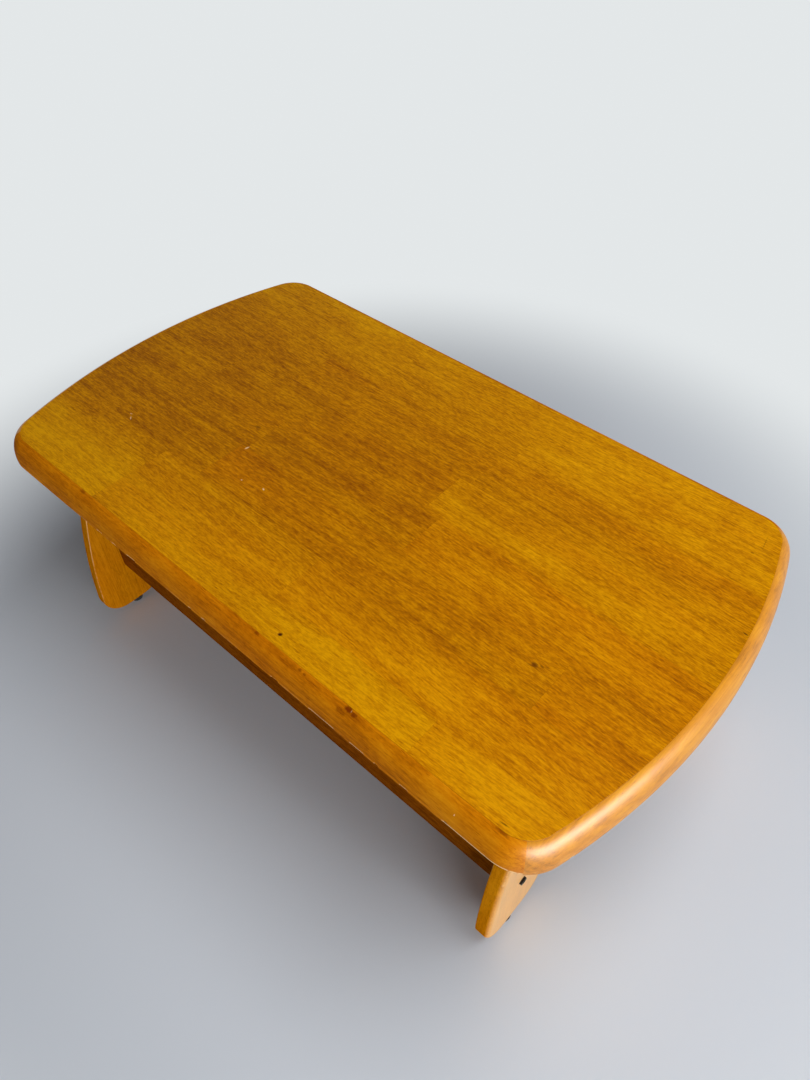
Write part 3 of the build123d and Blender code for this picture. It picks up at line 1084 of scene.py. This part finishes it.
@dataclass
class Lippings:
    """The four lippings round the panel, mitred half-way round each corner."""

    plan: TopPlan
    section: LipSection
    step: float = 1.5 * MM
    front_rubs: tuple[Rub, ...] = (
        Rub(-0.2065, -0.1965, 0.6 * MM),
        Rub(-0.1760, -0.1700, 0.5 * MM),
        Rub(-0.1480, -0.1330, 0.6 * MM),
        Rub(-0.0370, -0.0330, 0.5 * MM),
        Rub(-0.0145, -0.0100, 0.4 * MM),
        Rub(0.0940, 0.1040, 0.9 * MM),
        Rub(0.1490, 0.1830, 0.5 * MM),
        Rub(0.2040, 0.2220, 0.5 * MM),
        Rub(0.2350, 0.2395, 0.9 * MM),
        Rub(0.2670, 0.2760, 0.6 * MM),
        Rub(0.3170, 0.4400, 0.4 * MM),
    )
    seeds: tuple[int, int, int, int] = (11, 23, 37, 41)
    lift: float = 0.8
    waves: tuple[float, float, float] = (22.0, 260.0, 75.0)
    dulled: float = 0.08 * MM
    dulled_bare: float = 0.28
    chip_from: float = 0.45
    chip_gain: float = 5
    chip_depth: float = 0.4 * MM
    chip_bare: float = 0.9
    rub_fade: float = 1.5 * MM
    crisp: float = 40

    def build(self) -> None:
        """Build, dress and place the four lippings."""
        long_wood, end_wood = FRONT_LIP_WOOD.build(), END_LIP_WOOD.build()
        front = self.plan.long_side(self.step)
        right = self.plan.right_end(self.step)
        turned = Matrix.Rotation(math.pi, 2)
        jobs = (
            ("front", front, long_wood, self.front_rubs),
            ("rear", self._turned(front, turned), long_wood, ()),
            ("right", right, end_wood, ()),
            ("left", self._turned(right, turned), end_wood, ()),
        )
        for seed, (side, stations, wood, rubs) in zip(self.seeds, jobs):
            piece = self._sweep(stations, seed, rubs).piece("lip_" + side, wood, self.crisp)
            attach(piece, "table")
            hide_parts("lipping_" + side)
            log.info("lipping %s: %d points", side, len(piece.data.vertices))

    @staticmethod
    def _turned(stations: Iterable[Station], turn: Matrix) -> list[Station]:
        """The stations after a half turn about the middle of the top."""
        return [Station(turn @ s.point, turn @ s.outward, s.travel) for s in stations]

    def _sweep(self, stations: Sequence[Station], seed: int, rubs: Sequence[Rub]) -> Draft:
        """Sweep the section past the stations, with wear along its lower arris.

        Args:
            stations: The path.
            seed: What sets this lipping's own wear apart.
            rubs: Bared stretches at known places along X.

        Returns:
            The closed mesh.
        """
        section = self.section.outline()
        shares = [self.section.wear_share(*corner) for corner in section]
        draft = Draft()
        for station in stations:
            worn, bare = self._wear_at(station, seed, rubs)
            for (depth, height), share in zip(section, shares):
                near = share**3
                place = station.point - station.outward * (depth + near * worn)
                lifted = height + near * worn * self.lift
                draft.point((place.x, place.y, lifted), (share * bare, 0.0, 0.0))
        count = len(section)
        for row in range(len(stations) - 1):
            for i in range(count):
                j = (i + 1) % count
                near, far = row * count, (row + 1) * count
                draft.face((near + i, far + i, far + j, near + j))
        last = (len(stations) - 1) * count
        draft.face(tuple(range(count)))
        draft.face(tuple(last + i for i in reversed(range(count))))
        return draft

    def _wear_at(self, station: Station, seed: int, rubs: Sequence[Rub]) -> tuple[float, float]:
        """The wear of the lower arris.

        Args:
            station: The place along the lipping.
            seed: The lipping's own seed.
            rubs: Bared stretches at known places along X.

        Returns:
            How deep it is, in metres, and how bare the wood is, from 0 to 1.
        """
        rows = zip(self.waves, (0, 3, 7))
        slow, quick, chip = (wander(Vector((station.travel * wave, seed, row))) for wave, row in rows)
        chip = smooth_step((chip - self.chip_from) * self.chip_gain)
        worn = self.dulled * smooth_step(slow + 0.5) + self.chip_depth * chip * (1 + 0.5 * quick)
        bare = max(self.dulled_bare * smooth_step((slow + 0.4 * quick) * 1.6), self.chip_bare * chip)
        for rub in rubs:
            inside = min(station.point.x - rub.start, rub.end - station.point.x) / self.rub_fade
            share = smooth_step(inside + 0.5) * smooth_step(1.1 + quick + 0.5 * slow)
            worn = max(worn, rub.depth * share)
            bare = max(bare, share)
        return max(0.0, worn), bare


@dataclass(frozen=True)
class Blemish:
    """A pit, a nick or a stain in the panel, and how deep, how pale and how dark it is."""

    x: float
    y: float
    half_length: float
    half_width: float
    turn: float = 0.0
    depth: float = 0.1 * MM
    pale: float = 0.0
    dark: float = 0.0


@dataclass(frozen=True)
class Strip:
    """A strip of staves end to end: X of its joints, then how light and how yellow each stave is."""

    joints: tuple[float, ...]
    tones: tuple[tuple[float, float], ...]


@dataclass
class Panel:
    """The flat panel: strips of butt-jointed staves, glued edge to edge."""

    plan: TopPlan
    top: float
    thickness: float = 21 * MM
    inset: float = 15 * MM
    strip_width: float = 65.5 * MM
    glue_line: float = 0.35 * MM
    edge_ease: float = 0.25 * MM
    # The staves' tones are partly their own and partly painted light: the front and rear strips are made
    # lighter for the light that falls along the long sides.
    strips: tuple[Strip, ...] = (
        Strip((-0.223, 0.262), ((0.95, 1.0), (0.70, 0.6), (0.72, 0.4))),
        Strip((-0.223, 0.043), ((0.52, 1.0), (0.60, 0.7), (0.56, 0.4))),
        Strip((-0.162, 0.318), ((0.10, 1.1), (0.32, 0.5), (0.46, 0.3))),
        Strip((-0.154, 0.099), ((0.02, 1.0), (0.12, 0.8), (0.48, 0.3))),
        Strip((-0.300, 0.075), ((0.20, 1.2), (0.12, 0.9), (0.66, 0.9))),
        Strip((-0.208, 0.090), ((0.22, 1.0), (0.27, 0.9), (0.46, 0.8))),
        Strip((-0.340, 0.101), ((0.48, 1.3), (0.38, 1.0), (0.58, 1.0))),
        Strip((-0.120, 0.330), ((0.66, 1.3), (0.64, 1.3), (0.52, 1.0))),
    )
    blemishes: tuple[Blemish, ...] = (
        Blemish(0.083, -0.2273, 3.2 * MM, 2.6 * MM, 0.3, 1.2 * MM, dark=1.0),
        Blemish(-0.1534, -0.066, 3.8 * MM, 1.2 * MM, 1.35, 0.35 * MM, pale=1.0),
        Blemish(-0.084, -0.101, 2.4 * MM, 1.2 * MM, -0.4, 0.3 * MM, pale=1.0),
        Blemish(-0.115, -0.1075, 1.4 * MM, 1.1 * MM, 0.0, 0.2 * MM, pale=0.9),
        Blemish(-0.3075, -0.126, 4.2 * MM, 0.8 * MM, -0.7, 0.2 * MM, pale=0.8),
        Blemish(-0.314, -0.1206, 2.4 * MM, 0.8 * MM, 0.2, 0.2 * MM, pale=0.7),
        Blemish(-0.1725, -0.0310, 6.0 * MM, 2.4 * MM, 0.03, dark=0.6),
        Blemish(-0.170, -0.0345, 4.0 * MM, 1.2 * MM, -0.1, dark=0.35),
        Blemish(0.2925, -0.0895, 4.6 * MM, 3.4 * MM, -0.2, dark=0.72),
        Blemish(0.299, -0.0865, 3.4 * MM, 1.4 * MM, -0.15, dark=0.6),
        Blemish(0.304, -0.084, 3.0 * MM, 1.0 * MM, 0.2, dark=0.35),
        Blemish(0.288, -0.0925, 4.0 * MM, 1.0 * MM, 0.1, dark=0.35),
        Blemish(0.4265, 0.078, 4.4 * MM, 1.2 * MM, -0.1, 0.3 * MM, dark=0.9),
        Blemish(0.383, 0.182, 2.4 * MM, 1.4 * MM, dark=0.5),
        Blemish(0.387, 0.204, 14.0 * MM, 0.7 * MM, 1.75, dark=0.35),
        Blemish(-0.304, -0.143, 4.0 * MM, 1.2 * MM, 0.1, dark=0.3),
        Blemish(-0.361, -0.149, 4.0 * MM, 1.2 * MM, 0.1, dark=0.45),
        Blemish(-0.398, 0.030, 4.0 * MM, 1.8 * MM, 0.1, dark=0.3),
        Blemish(0.366, -0.2345, 6.0 * MM, 0.9 * MM, 0.1, dark=0.7),
    )
    ring_shares: tuple[float, ...] = (1.25, 1.0, 0.75, 0.4)
    ring_points: int = 14
    raggedness: float = 0.28
    lobes: float = 1.7
    lobe_spread: float = 900
    lobe_row: int = 5
    blend_from: float = 0.5
    outline_step: float = 5 * MM
    # Painted shade: the eased edge, the side and the underside are darkened for the shade in the crease under
    # the lipping.
    side_painted_shade: float = 0.55
    glue_shade: float = 0.4
    weld: float = 1e-7
    slack: float = 0.05 * MM
    crisp: float = 25

    def build(self) -> None:
        """Build, dress and place the panel."""
        piece = self._draw().piece("panel_of_staves", STAVED_WOOD.build(), self.crisp)
        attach(piece, "table")
        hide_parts("top_panel")
        staves = sum(len(strip.tones) for strip in self.strips)
        log.info("panel: %d points, %d staves", len(piece.data.vertices), staves)

    def _strip_edges(self) -> list[float]:
        """Y of the glue lines between strips, with one past each long side."""
        count = len(self.strips)
        return [self.strip_width * (i - count / 2) for i in range(count + 1)]

    def _outline(self) -> list[Vector]:
        """The panel's plan outline, at the crease.

        Returns:
            The points, all the way round.
        """
        inset = self.inset + self.edge_ease
        stations = [*self.plan.long_side(self.outline_step), *self.plan.right_end(self.outline_step)[1:]]
        half = [s.point - s.outward * inset for s in stations]
        return [*half[:-1], *(-point for point in half[:-1])]

    def _draw(self) -> Draft:
        """Draw the panel: its top face is cut along the glue lines and round each blemish.

        Returns:
            The closed mesh.
        """
        points: list[Vector] = []
        edges: list[tuple[int, int]] = []

        def run(places: Sequence[Vector], closed: bool) -> None:
            """Add a line of points to the drawing.

            Args:
                places: The points.
                closed: Whether the last one joins the first.
            """
            first = len(points)
            points.extend(places)
            edges.extend((first + i, first + i + 1) for i in range(len(places) - 1))
            if closed:
                edges.append((len(points) - 1, first))

        run(self._outline(), True)
        lines = self._strip_edges()
        half_glue, far = self.glue_line / 2, self.plan.half_length
        for y in lines[1:-1]:
            for offset in (-half_glue, half_glue):
                run([Vector((-far, y + offset)), Vector((far, y + offset))], False)
        for row, strip in enumerate(self.strips):
            low, high = lines[row] + half_glue, lines[row + 1] - half_glue
            for x in strip.joints:
                for offset in (-half_glue, half_glue):
                    run([Vector((x + offset, low)), Vector((x + offset, high))], False)
        for blemish in self.blemishes:
            for share in self.ring_shares:
                run(self._ring(blemish, share), True)
        cut, _, faces, *_ = delaunay_2d_cdt(points, edges, [], 0, self.weld)
        return self._raise(cut, faces)

    def _ring(self, blemish: Blemish, share: float) -> list[Vector]:
        """The ragged outline of a blemish.

        Args:
            blemish: The blemish.
            share: The share of its size at which the outline runs.

        Returns:
            The outline's points.
        """
        turn = Matrix.Rotation(blemish.turn, 2)
        made = []
        for i in range(self.ring_points):
            angle = 2 * math.pi * i / self.ring_points
            cos, sin = math.cos(angle), math.sin(angle)
            start = blemish.x * self.lobe_spread
            rough = wander(Vector((start + self.lobes * cos, self.lobes * sin, self.lobe_row)))
            reach = Vector((blemish.half_length * cos, blemish.half_width * sin))
            reach *= share * (1 + self.raggedness * rough)
            made.append(Vector((blemish.x, blemish.y)) + turn @ reach)
        return made

    def _raise(self, cut: Sequence[Vector], faces: Sequence[Sequence[int]]) -> Draft:
        """Give the flat drawing its thickness and its marks.

        Args:
            cut: The points of the flat drawing.
            faces: Its triangles, the ones outside the outline among them.

        Returns:
            The closed mesh.
        """
        draft = Draft()
        limit = self.inset + self.edge_ease
        kept = []
        for corners in faces:
            centre = sum((cut[c] for c in corners), Vector((0, 0))) / len(corners)
            if self.plan.depth(centre.x, centre.y) > limit - self.slack:
                kept.append((corners, centre))
        used = sorted({c for corners, _ in kept for c in corners})
        number = {}
        for c in used:
            depth, pale, dark = self._mark_at(cut[c])
            number[c] = draft.point((cut[c].x, cut[c].y, self.top - depth), (pale, dark, 0.0))
        border: dict[tuple[int, int], None] = {}
        for corners, centre in kept:
            draft.face([number[c] for c in corners], self._stave_at(centre))
            for a, b in zip(corners, (*corners[1:], corners[0])):
                if (b, a) in border:
                    del border[(b, a)]
                else:
                    border[(a, b)] = None
        self._wall(draft, cut, number, border)
        return draft

    def _wall(self, draft: Draft, cut: Sequence[Vector], number: dict[int, int],
              border: Iterable[tuple[int, int]]) -> None:
        """Add the eased edge, the side and the underside below the top face's border.

        Args:
            draft: The mesh so far, with its top face.
            cut: The points of the flat drawing.
            number: The mesh's number of each of those points.
            border: The border's edges.
        """
        follow = {a: b for a, b in border}
        start = next(iter(follow))
        loop = [start]
        while follow[loop[-1]] != start:
            loop.append(follow[loop[-1]])
        rows = [[number[c] for c in loop]]
        for height in (self.top - self.edge_ease, self.top - self.thickness):
            row = []
            for c in loop:
                share = 1 + self.edge_ease / cut[c].length
                place = (cut[c].x * share, cut[c].y * share, height)
                # Painted shade in the crease under the lipping.
                row.append(draft.point(place, (0.0, self.side_painted_shade, 0.0)))
            rows.append(row)
        for upper, lower in zip(rows, rows[1:]):
            for i in range(len(loop)):
                j = (i + 1) % len(loop)
                draft.face((upper[j], upper[i], lower[i], lower[j]))
        draft.face(tuple(reversed(rows[-1])))

    def _mark_at(self, place: Vector) -> tuple[float, float, float]:
        """The blemishes at a place of the top face.

        Args:
            place: The place.

        Returns:
            How deep, how bare and how dark the face is there.
        """
        depth = pale = dark = 0.0
        for blemish in self.blemishes:
            away = Matrix.Rotation(-blemish.turn, 2) @ (place - Vector((blemish.x, blemish.y)))
            share = math.hypot(away.x / blemish.half_length, away.y / blemish.half_width)
            inside = 1 - smooth_step((share - self.blend_from) / (1 - self.blend_from))
            depth = max(depth, blemish.depth * inside)
            pale = max(pale, blemish.pale * inside)
            dark = max(dark, blemish.dark * inside)
        return depth, pale, dark

    def _stave_at(self, place: Vector) -> tuple[float, float, float]:
        """The stave, or the glue line, at a place.

        Args:
            place: The place.

        Returns:
            Its lightness, its yellowness and its seed.
        """
        lines = self._strip_edges()
        row = min(len(self.strips) - 1, max(0, int((place.y - lines[0]) / self.strip_width)))
        joints, tones = self.strips[row].joints, self.strips[row].tones
        column = sum(place.x > x for x in joints)
        lightness, yellowness = tones[column]
        seed = random.Random(97 * row + 13 * column + 5).random()
        to_glue = min(abs(edge) for edge in (*(place.y - y for y in lines), *(place.x - x for x in joints)))
        if to_glue < self.glue_line / 2:
            lightness -= self.glue_shade
        return lightness, yellowness, seed


# ---- Legs ----
@dataclass
class LegBoards:
    """The four flared leg boards, each cut from its outline, rounded on its arrises and bored.

    The sizes are those of the front right board; the others mirror it. foot_y and painted_face_light hold a
    value
    for each board: front left, rear left, front right, rear right. painted_face_light is painted light that
    pales the outer face. A bore's size is its depth and radius.
    """

    head: float
    sole: float
    outer_x: float
    thickness: float = 19 * MM
    head_y: float = -173 * MM
    foot_y: tuple[float, float, float, float] = (-237 * MM, -231 * MM, -226.5 * MM, -231 * MM)
    foot_centre: tuple[float, float] = (360.5 * MM, -183 * MM)
    head_width: float = 110 * MM
    foot_width: float = 101 * MM
    bow: float = 16 * MM
    # Painted light: the outer faces are paled, most on the front right board, which faces the window lamp.
    painted_face_light: tuple[float, float, float, float] = (0.12, 0.12, 0.43, 0.12)
    toe_radius: float = 36 * MM
    outer_arris: float = 6.0 * MM
    inner_arris: float = 2.0 * MM
    arris_steps: int = 8
    guard: float = 1.2 * MM
    step: float = 2.2 * MM
    rub: float = 0.6
    rub_from: float = 0.45
    rub_breaks: float = 0.9
    rub_focus: int = 8
    stretcher: tuple[float, float] = (-174 * MM, 111 * MM)
    bolt_head: tuple[float, float] = (5 * MM, 6 * MM)
    bolt_radius: float = 3.2 * MM
    dowel: tuple[float, float] = (11 * MM, 4.05 * MM)
    dowel_lift: float = 15 * MM
    insert: tuple[float, float] = (13.1 * MM, 4.55 * MM)
    stud_depth: float = 26 * MM
    inserts: tuple[tuple[float, float], ...] = ((-150.69 * MM, 316 * MM), (-106.69 * MM, 292 * MM))
    sole_steps: int = 8
    waves: tuple[float, float] = (16.0, 300.0)
    crisp: float = 35

    def build(self) -> None:
        """Build, dress and place the four boards."""
        wood = LEG_WOOD.build()
        places = [(end, side) for side in ("left", "right") for end in ("front", "rear")]
        for seed, ((end, side), foot_y, painted_face_light) in enumerate(zip(places, self.foot_y, self.painted_face_light)):
            name = f"{end}_{side}"
            hand = Vector((1 if side == "right" else -1, 1 if end == "front" else -1, 1))
            piece = self._board(hand, foot_y, painted_face_light, seed).piece("board_" + name, wood, self.crisp)
            self._bore(piece, hand)
            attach(piece, "table")
            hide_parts("leg_" + name)
            log.info("leg board %s: %d points", name, len(piece.data.vertices))

    def _edge(self, head_y: float, foot_y: float) -> tuple[Vector, float]:
        """A bowed long edge.

        Args:
            head_y: Y of its upper end.
            foot_y: Y of its lower end.

        Returns:
            Its centre, as Y and Z, and its radius.
        """
        head = Vector((head_y, self.head))
        middle = Vector(((head_y + foot_y) / 2 - self.bow, (self.head + self.sole) / 2))
        return circle_through(head, middle, Vector((foot_y, self.sole)))

    def _outline(self, foot_y: float) -> list[Station]:
        """The board's outline as Y and Z.

        Args:
            foot_y: Y of the outer end of the sole.

        Returns:
            The stations, from the outer end of the head round by the sole.
        """
        outer, outer_radius = self._edge(self.head_y, foot_y)
        inner, inner_radius = self._edge(self.head_y + self.head_width, foot_y + self.foot_width)
        toe_z = self.sole + self.toe_radius
        toe_reach = math.sqrt((outer_radius - self.toe_radius) ** 2 - (toe_z - outer.y) ** 2)
        heel_reach = math.sqrt((inner_radius + self.toe_radius) ** 2 - (toe_z - inner.y) ** 2)
        toe, heel = Vector((outer.x - toe_reach, toe_z)), Vector((inner.x - heel_reach, toe_z))
        down = -math.pi / 2
        to_toe, to_inner = toe - outer, inner - heel
        toe_angle = math.atan2(to_toe.y, to_toe.x) % (2 * math.pi)
        heel_angle = math.atan2(to_inner.y, to_inner.x)
        head_angle = math.atan2(self.head - outer.y, self.head_y - outer.x) % (2 * math.pi)
        inner_end = math.atan2(self.head - inner.y, self.head_y + self.head_width - inner.x) % (2 * math.pi)
        inner_start = heel_angle + math.pi
        flat = [toe.x + (heel.x - toe.x) * i / self.sole_steps for i in range(1, self.sole_steps)]
        sole = [Station(Vector((y, self.sole)), Vector((0, -1))) for y in flat]
        rising = arc(inner, inner_radius, inner_start, inner_end, self.step)
        return [
            *arc(outer, outer_radius, head_angle, toe_angle, self.step),
            *arc(toe, self.toe_radius, toe_angle, down + 2 * math.pi, self.step)[1:],
            *sole,
            *arc(heel, self.toe_radius, down, heel_angle, self.step),
            *(Station(s.point, -s.outward) for s in rising[1:]),
        ]

    def _section(self) -> list[tuple[float, float, float, float]]:
        """The section across the edge, from the outer face to the inner one.

        Returns:
            The inset, the depth in, the share of the wear and the dullness of each point.
        """

        def half(arris: float) -> list[tuple[float, float, float, float]]:
            """The section from a broad face round its arris to the edge.

            Args:
                arris: The arris's radius.

            Returns:
                The same four values, with the depth from that face.
            """
            made = [(arris + self.guard, 0.0, 0.0, 0.0)]
            for i in range(self.arris_steps + 1):
                angle = math.pi / 2 * i / self.arris_steps
                sin, cos = math.sin(angle), math.cos(angle)
                rub = math.sin(2 * angle) ** self.rub_focus
                made.append((arris * (1 - sin), arris * (1 - cos), rub, sin**2))
            return [*made, (0.0, arris + self.guard, 0.0, 1.0)]

        inner = reversed(half(self.inner_arris))
        turned = [(inset, self.thickness - depth, *rest) for inset, depth, *rest in inner]
        return [*half(self.outer_arris), *turned]

    def _board(self, hand: Vector, foot_y: float, painted_face_light: float, seed: int) -> Draft:
        """One board, before it is bored.

        Args:
            hand: 1 or -1 along each axis, which mirrors the front right board.
            foot_y: Y of the outer end of the sole, before it is mirrored.
            painted_face_light: How much painted light pales the outer face, from 0 to 1.
            seed: What sets this board's own wear apart.

        Returns:
            The closed mesh.
        """
        draft = Draft()
        section = self._section()
        outline = self._outline(foot_y)
        for station in outline:
            bare = self._bareness(station.point, seed)
            for inset, depth, share, dull in section:
                flat = station.point - station.outward * inset
                on_outer_face = depth < self.thickness / 2
                # Painted light on the outer face rides in the mark's first value, together with the worn
                # arris.
                face_light = painted_face_light * (1 - dull) if on_outer_face else 0.0
                mark = (max(share * bare, face_light), 0.0, dull if on_outer_face else 1.0)
                draft.point(hand * Vector((self.outer_x - depth, flat.x, flat.y)), mark)
        count, rows = len(section), len(outline)
        for row in range(rows):
            near, far = row * count, (row + 1) % rows * count
            for i in range(count - 1):
                draft.face((near + i, near + i + 1, far + i + 1, far + i))
        draft.face(tuple(row * count for row in range(rows)))
        draft.face(tuple((row + 1) * count - 1 for row in reversed(range(rows))))
        if hand.x * hand.y < 0:
            draft.faces = [tuple(reversed(face)) for face in draft.faces]
        return draft

    def _bareness(self, place: Vector, seed: int) -> float:
        """How far the finish has rubbed off an arris.

        Args:
            place: The place, as Y and Z.
            seed: What sets this board's own wear apart.

        Returns:
            The bareness, from 0 to 1.
        """
        rows = zip(self.waves, (seed, seed + 3))
        slow, quick = (wander(Vector((place.x * wave, place.y * wave, row))) for wave, row in rows)
        return self.rub * smooth_step(self.rub_from + slow + self.rub_breaks * quick)

    def _bores(self) -> list[Bore]:
        """The bores of the front right board.

        Returns:
            The stretcher bolt's, its dowels', the rail bolts' inserts' and the foot's.
        """
        inner_x = self.outer_x - self.thickness
        inwards, outwards, up = (-1, 0, 0), (1, 0, 0), (0, 0, 1)
        y, z = self.stretcher
        through = (self.thickness + MM, self.bolt_radius)
        stud = (self.stud_depth, self.bolt_radius)
        lifts = (-self.dowel_lift, self.dowel_lift)
        return [
            Bore((self.outer_x, y, z), inwards, (self.bolt_head, through)),
            *(Bore((inner_x, y, z + lift), outwards, (self.dowel,)) for lift in lifts),
            *(Bore((inner_x, *place), outwards, (self.insert,)) for place in self.inserts),
            Bore((*self.foot_centre, self.sole), up, (self.insert, stud)),
        ]

    def _bore(self, piece: bpy.types.Object, hand: Vector) -> None:
        """Cut every bore out of a board.

        Args:
            piece: The board.
            hand: 1 or -1 along each axis, which mirrors the front right board.
        """
        cutter = Draft()
        for bore in self._bores():
            start, way = hand * Vector(bore.start), hand * Vector(bore.way)
            cutter.turned(Bore(tuple(start), tuple(way), bore.steps))
        tool = cutter.piece("bores", piece.data.materials[0], self.crisp)
        cut = piece.modifiers.new("bores", "BOOLEAN")
        cut.operation, cut.solver, cut.object = "DIFFERENCE", "EXACT", tool
        view = bpy.context.evaluated_depsgraph_get()
        mesh = bpy.data.meshes.new_from_object(piece.evaluated_get(view))
        piece.modifiers.clear()
        piece.data = mesh
        sharpen(mesh, self.crisp)
        bpy.data.objects.remove(tool)


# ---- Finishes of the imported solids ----
@dataclass(frozen=True)
class Dressing:
    """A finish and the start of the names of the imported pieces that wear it."""

    finish: Wood | PlatedSteel | Plastic
    prefixes: tuple[str, ...]

    def dress(self, nodes: dict[str, bpy.types.Object]) -> int:
        """Dress the pieces.

        Args:
            nodes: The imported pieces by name.

        Returns:
            How many pieces now wear the finish.
        """
        material = self.finish.build()
        worn = [piece for name, piece in nodes.items() if name.startswith(self.prefixes)]
        for piece in worn:
            piece.data.materials.clear()
            piece.data.materials.append(material)
        return len(worn)


DRESSINGS = (
    Dressing(STAVED_WOOD, ("top_panel",)),
    Dressing(FRONT_LIP_WOOD, ("lipping_",)),
    Dressing(LEG_WOOD, ("leg_front", "leg_rear")),
    Dressing(CROSS_RAIL_WOOD, ("cross_rail",)),
    Dressing(DARK_WOOD, ("stretcher_front", "stretcher_rear")),
    Dressing(DOWEL_WOOD, ("stretcher_dowels",)),
    Dressing(
        BOLT_STEEL,
        ("stretcher_bolts", "stretcher_washers", "barrel_nuts", "rail_", "panel_screws", "foot_stud"),
    ),
    Dressing(INSERT_STEEL, ("leg_inserts", "foot_inserts")),
    Dressing(FOOT_PLASTIC, ("foot_pad",)),
)


# ---- Studio ----
class Shines(Enum):
    """What a lamp does: it lights the object, or shows in its gloss."""

    LIGHT = "light"
    REFLECTION = "reflection"


@dataclass(frozen=True)
class Lamp:
    """A soft rectangular lamp, aimed at the table.

    Its bearing goes round from +X towards +Y, and its elevation rises from the table's top.
    """

    name: str
    bearing: float
    elevation: float
    distance: float
    size: tuple[float, float]
    power: float
    shines: Shines
    target: tuple[float, float, float] = (0.2, -0.1, 0.3)

    def build(self) -> None:
        """Hang the lamp."""
        bearing, elevation = math.radians(self.bearing), math.radians(self.elevation)
        level = math.cos(elevation)
        way = Vector((level * math.cos(bearing), level * math.sin(bearing), math.sin(elevation)))
        lamp = bpy.data.lights.new(self.name, "AREA")
        lamp.shape = "RECTANGLE"
        lamp.size, lamp.size_y = self.size
        lamp.energy = self.power
        holder = bpy.data.objects.new(self.name, lamp)
        holder.location = Vector(self.target) + way * self.distance
        holder.rotation_euler = (-way).to_track_quat("-Z", "Y").to_euler()
        holder.visible_diffuse = self.shines is not Shines.REFLECTION
        holder.visible_glossy = self.shines is not Shines.LIGHT
        bpy.context.scene.collection.objects.link(holder)


@dataclass(frozen=True)
class Studio:
    """The floor, the lamps, the world and the camera."""

    floor_half: float = 6.0
    floor_colour: Colour = (0.69, 0.735, 0.80)
    backdrop: Colour = (0.77, 0.80, 0.81)
    floor_fade: tuple[float, float] = (0.6, 1.05)
    sky: Colour = (0.94, 0.97, 1.0)
    sky_light: float = 0.07
    lamps: tuple[Lamp, ...] = (
        Lamp("window", -21.0, 12.0, 2.9, (2.6, 1.2), 65.0, Shines.LIGHT),
        Lamp("window_glow", -15.0, 9.0, 2.9, (3.4, 1.5), 300.0, Shines.REFLECTION),
        Lamp("ceiling", 14.0, 80.0, 1.8, (1.3, 1.3), 25.0, Shines.LIGHT, (0.5, 0.15, 0.3)),
        Lamp("front_fill", -115.0, 22.0, 3.0, (2.0, 1.0), 6.0, Shines.LIGHT),
    )
    focal_length: float = 27.425
    eye: tuple[float, float, float] = (0.49753, -0.49967, 1.01899)
    eye_right: tuple[float, float, float] = (0.7450474, 0.6669912, -0.0052078)
    eye_forward: tuple[float, float, float] = (-0.4519345, 0.4990500, -0.7393946)

    def build(self) -> None:
        """Set up the whole studio."""
        self._floor()
        self._world()
        for lamp in self.lamps:
            lamp.build()
        self._camera()
        bpy.context.scene.view_settings.view_transform = "Standard"
        log.info("studio is set")

    def _floor(self) -> None:
        """A plain pale floor, which passes into the backdrop away from the table."""
        half = self.floor_half
        corners = [(-half, -half, 0), (half, -half, 0), (half, half, 0), (-half, half, 0)]
        mesh = bpy.data.meshes.new("floor")
        mesh.from_pydata(corners, [], [(0, 1, 2, 3)])
        bench = Bench.of_material("floor_paint")
        values = {"Base Color": (*self.floor_colour, 1.0), "Roughness": 0.9, "Specular IOR Level": 0.0}
        paint = bench.node("ShaderNodeBsdfPrincipled", {}, values)
        backdrop = bench.node("ShaderNodeEmission", {}, {"Color": (*self.backdrop, 1.0)})
        share = bench.length(bench.place()).rise(*self.floor_fade) * bench.shown()
        bench.close("ShaderNodeOutputMaterial", share, paint, backdrop)
        mesh.materials.append(bench.owner)
        floor = bpy.data.objects.new("floor", mesh)
        bpy.context.scene.collection.objects.link(floor)
        floor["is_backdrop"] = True

    def _world(self) -> None:
        """An even pale world, which shows as a brighter backdrop."""
        bench = Bench(bpy.data.worlds.new("studio_world"))
        sky = bench.node("ShaderNodeBackground", {}, {"Color": (*self.sky, 1.0), "Strength": self.sky_light})
        backdrop = bench.node("ShaderNodeBackground", {}, {"Color": (*self.backdrop, 1.0)})
        bench.close("ShaderNodeOutputWorld", bench.shown(), sky, backdrop)
        bpy.context.scene.world = bench.owner

    def _camera(self) -> None:
        """The camera, which looks down at the front right corner."""
        lens = bpy.data.cameras.new("camera")
        lens.lens = self.focal_length
        camera = bpy.data.objects.new("camera", lens)
        right, forward = Vector(self.eye_right), Vector(self.eye_forward)
        up = right.cross(forward)
        turn = Matrix((right, up, -forward)).transposed()
        camera.matrix_world = Matrix.Translation(self.eye) @ turn.to_4x4()
        bpy.context.scene.collection.objects.link(camera)
        bpy.context.scene.camera = camera


def main() -> None:
    """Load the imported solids, dress them and set up the studio."""
    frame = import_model()
    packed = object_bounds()
    high = packed[1]
    for dressing in DRESSINGS:
        count = dressing.dress(frame["nodes"])
        log.info("%s: %d pieces", dressing.finish.name, count)
    plan = TopPlan(half_length=high.x, half_width=high.y)
    Lippings(plan, LipSection(top=high.z)).build()
    Panel(plan, top=high.z).build()
    foot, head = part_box("leg_front_right")
    LegBoards(head=head.z, sole=foot.z, outer_x=head.x).build()
    Studio().build()


if __name__ == "__main__":
    logging.basicConfig(level=logging.INFO, format="%(name)s: %(message)s")
    main()
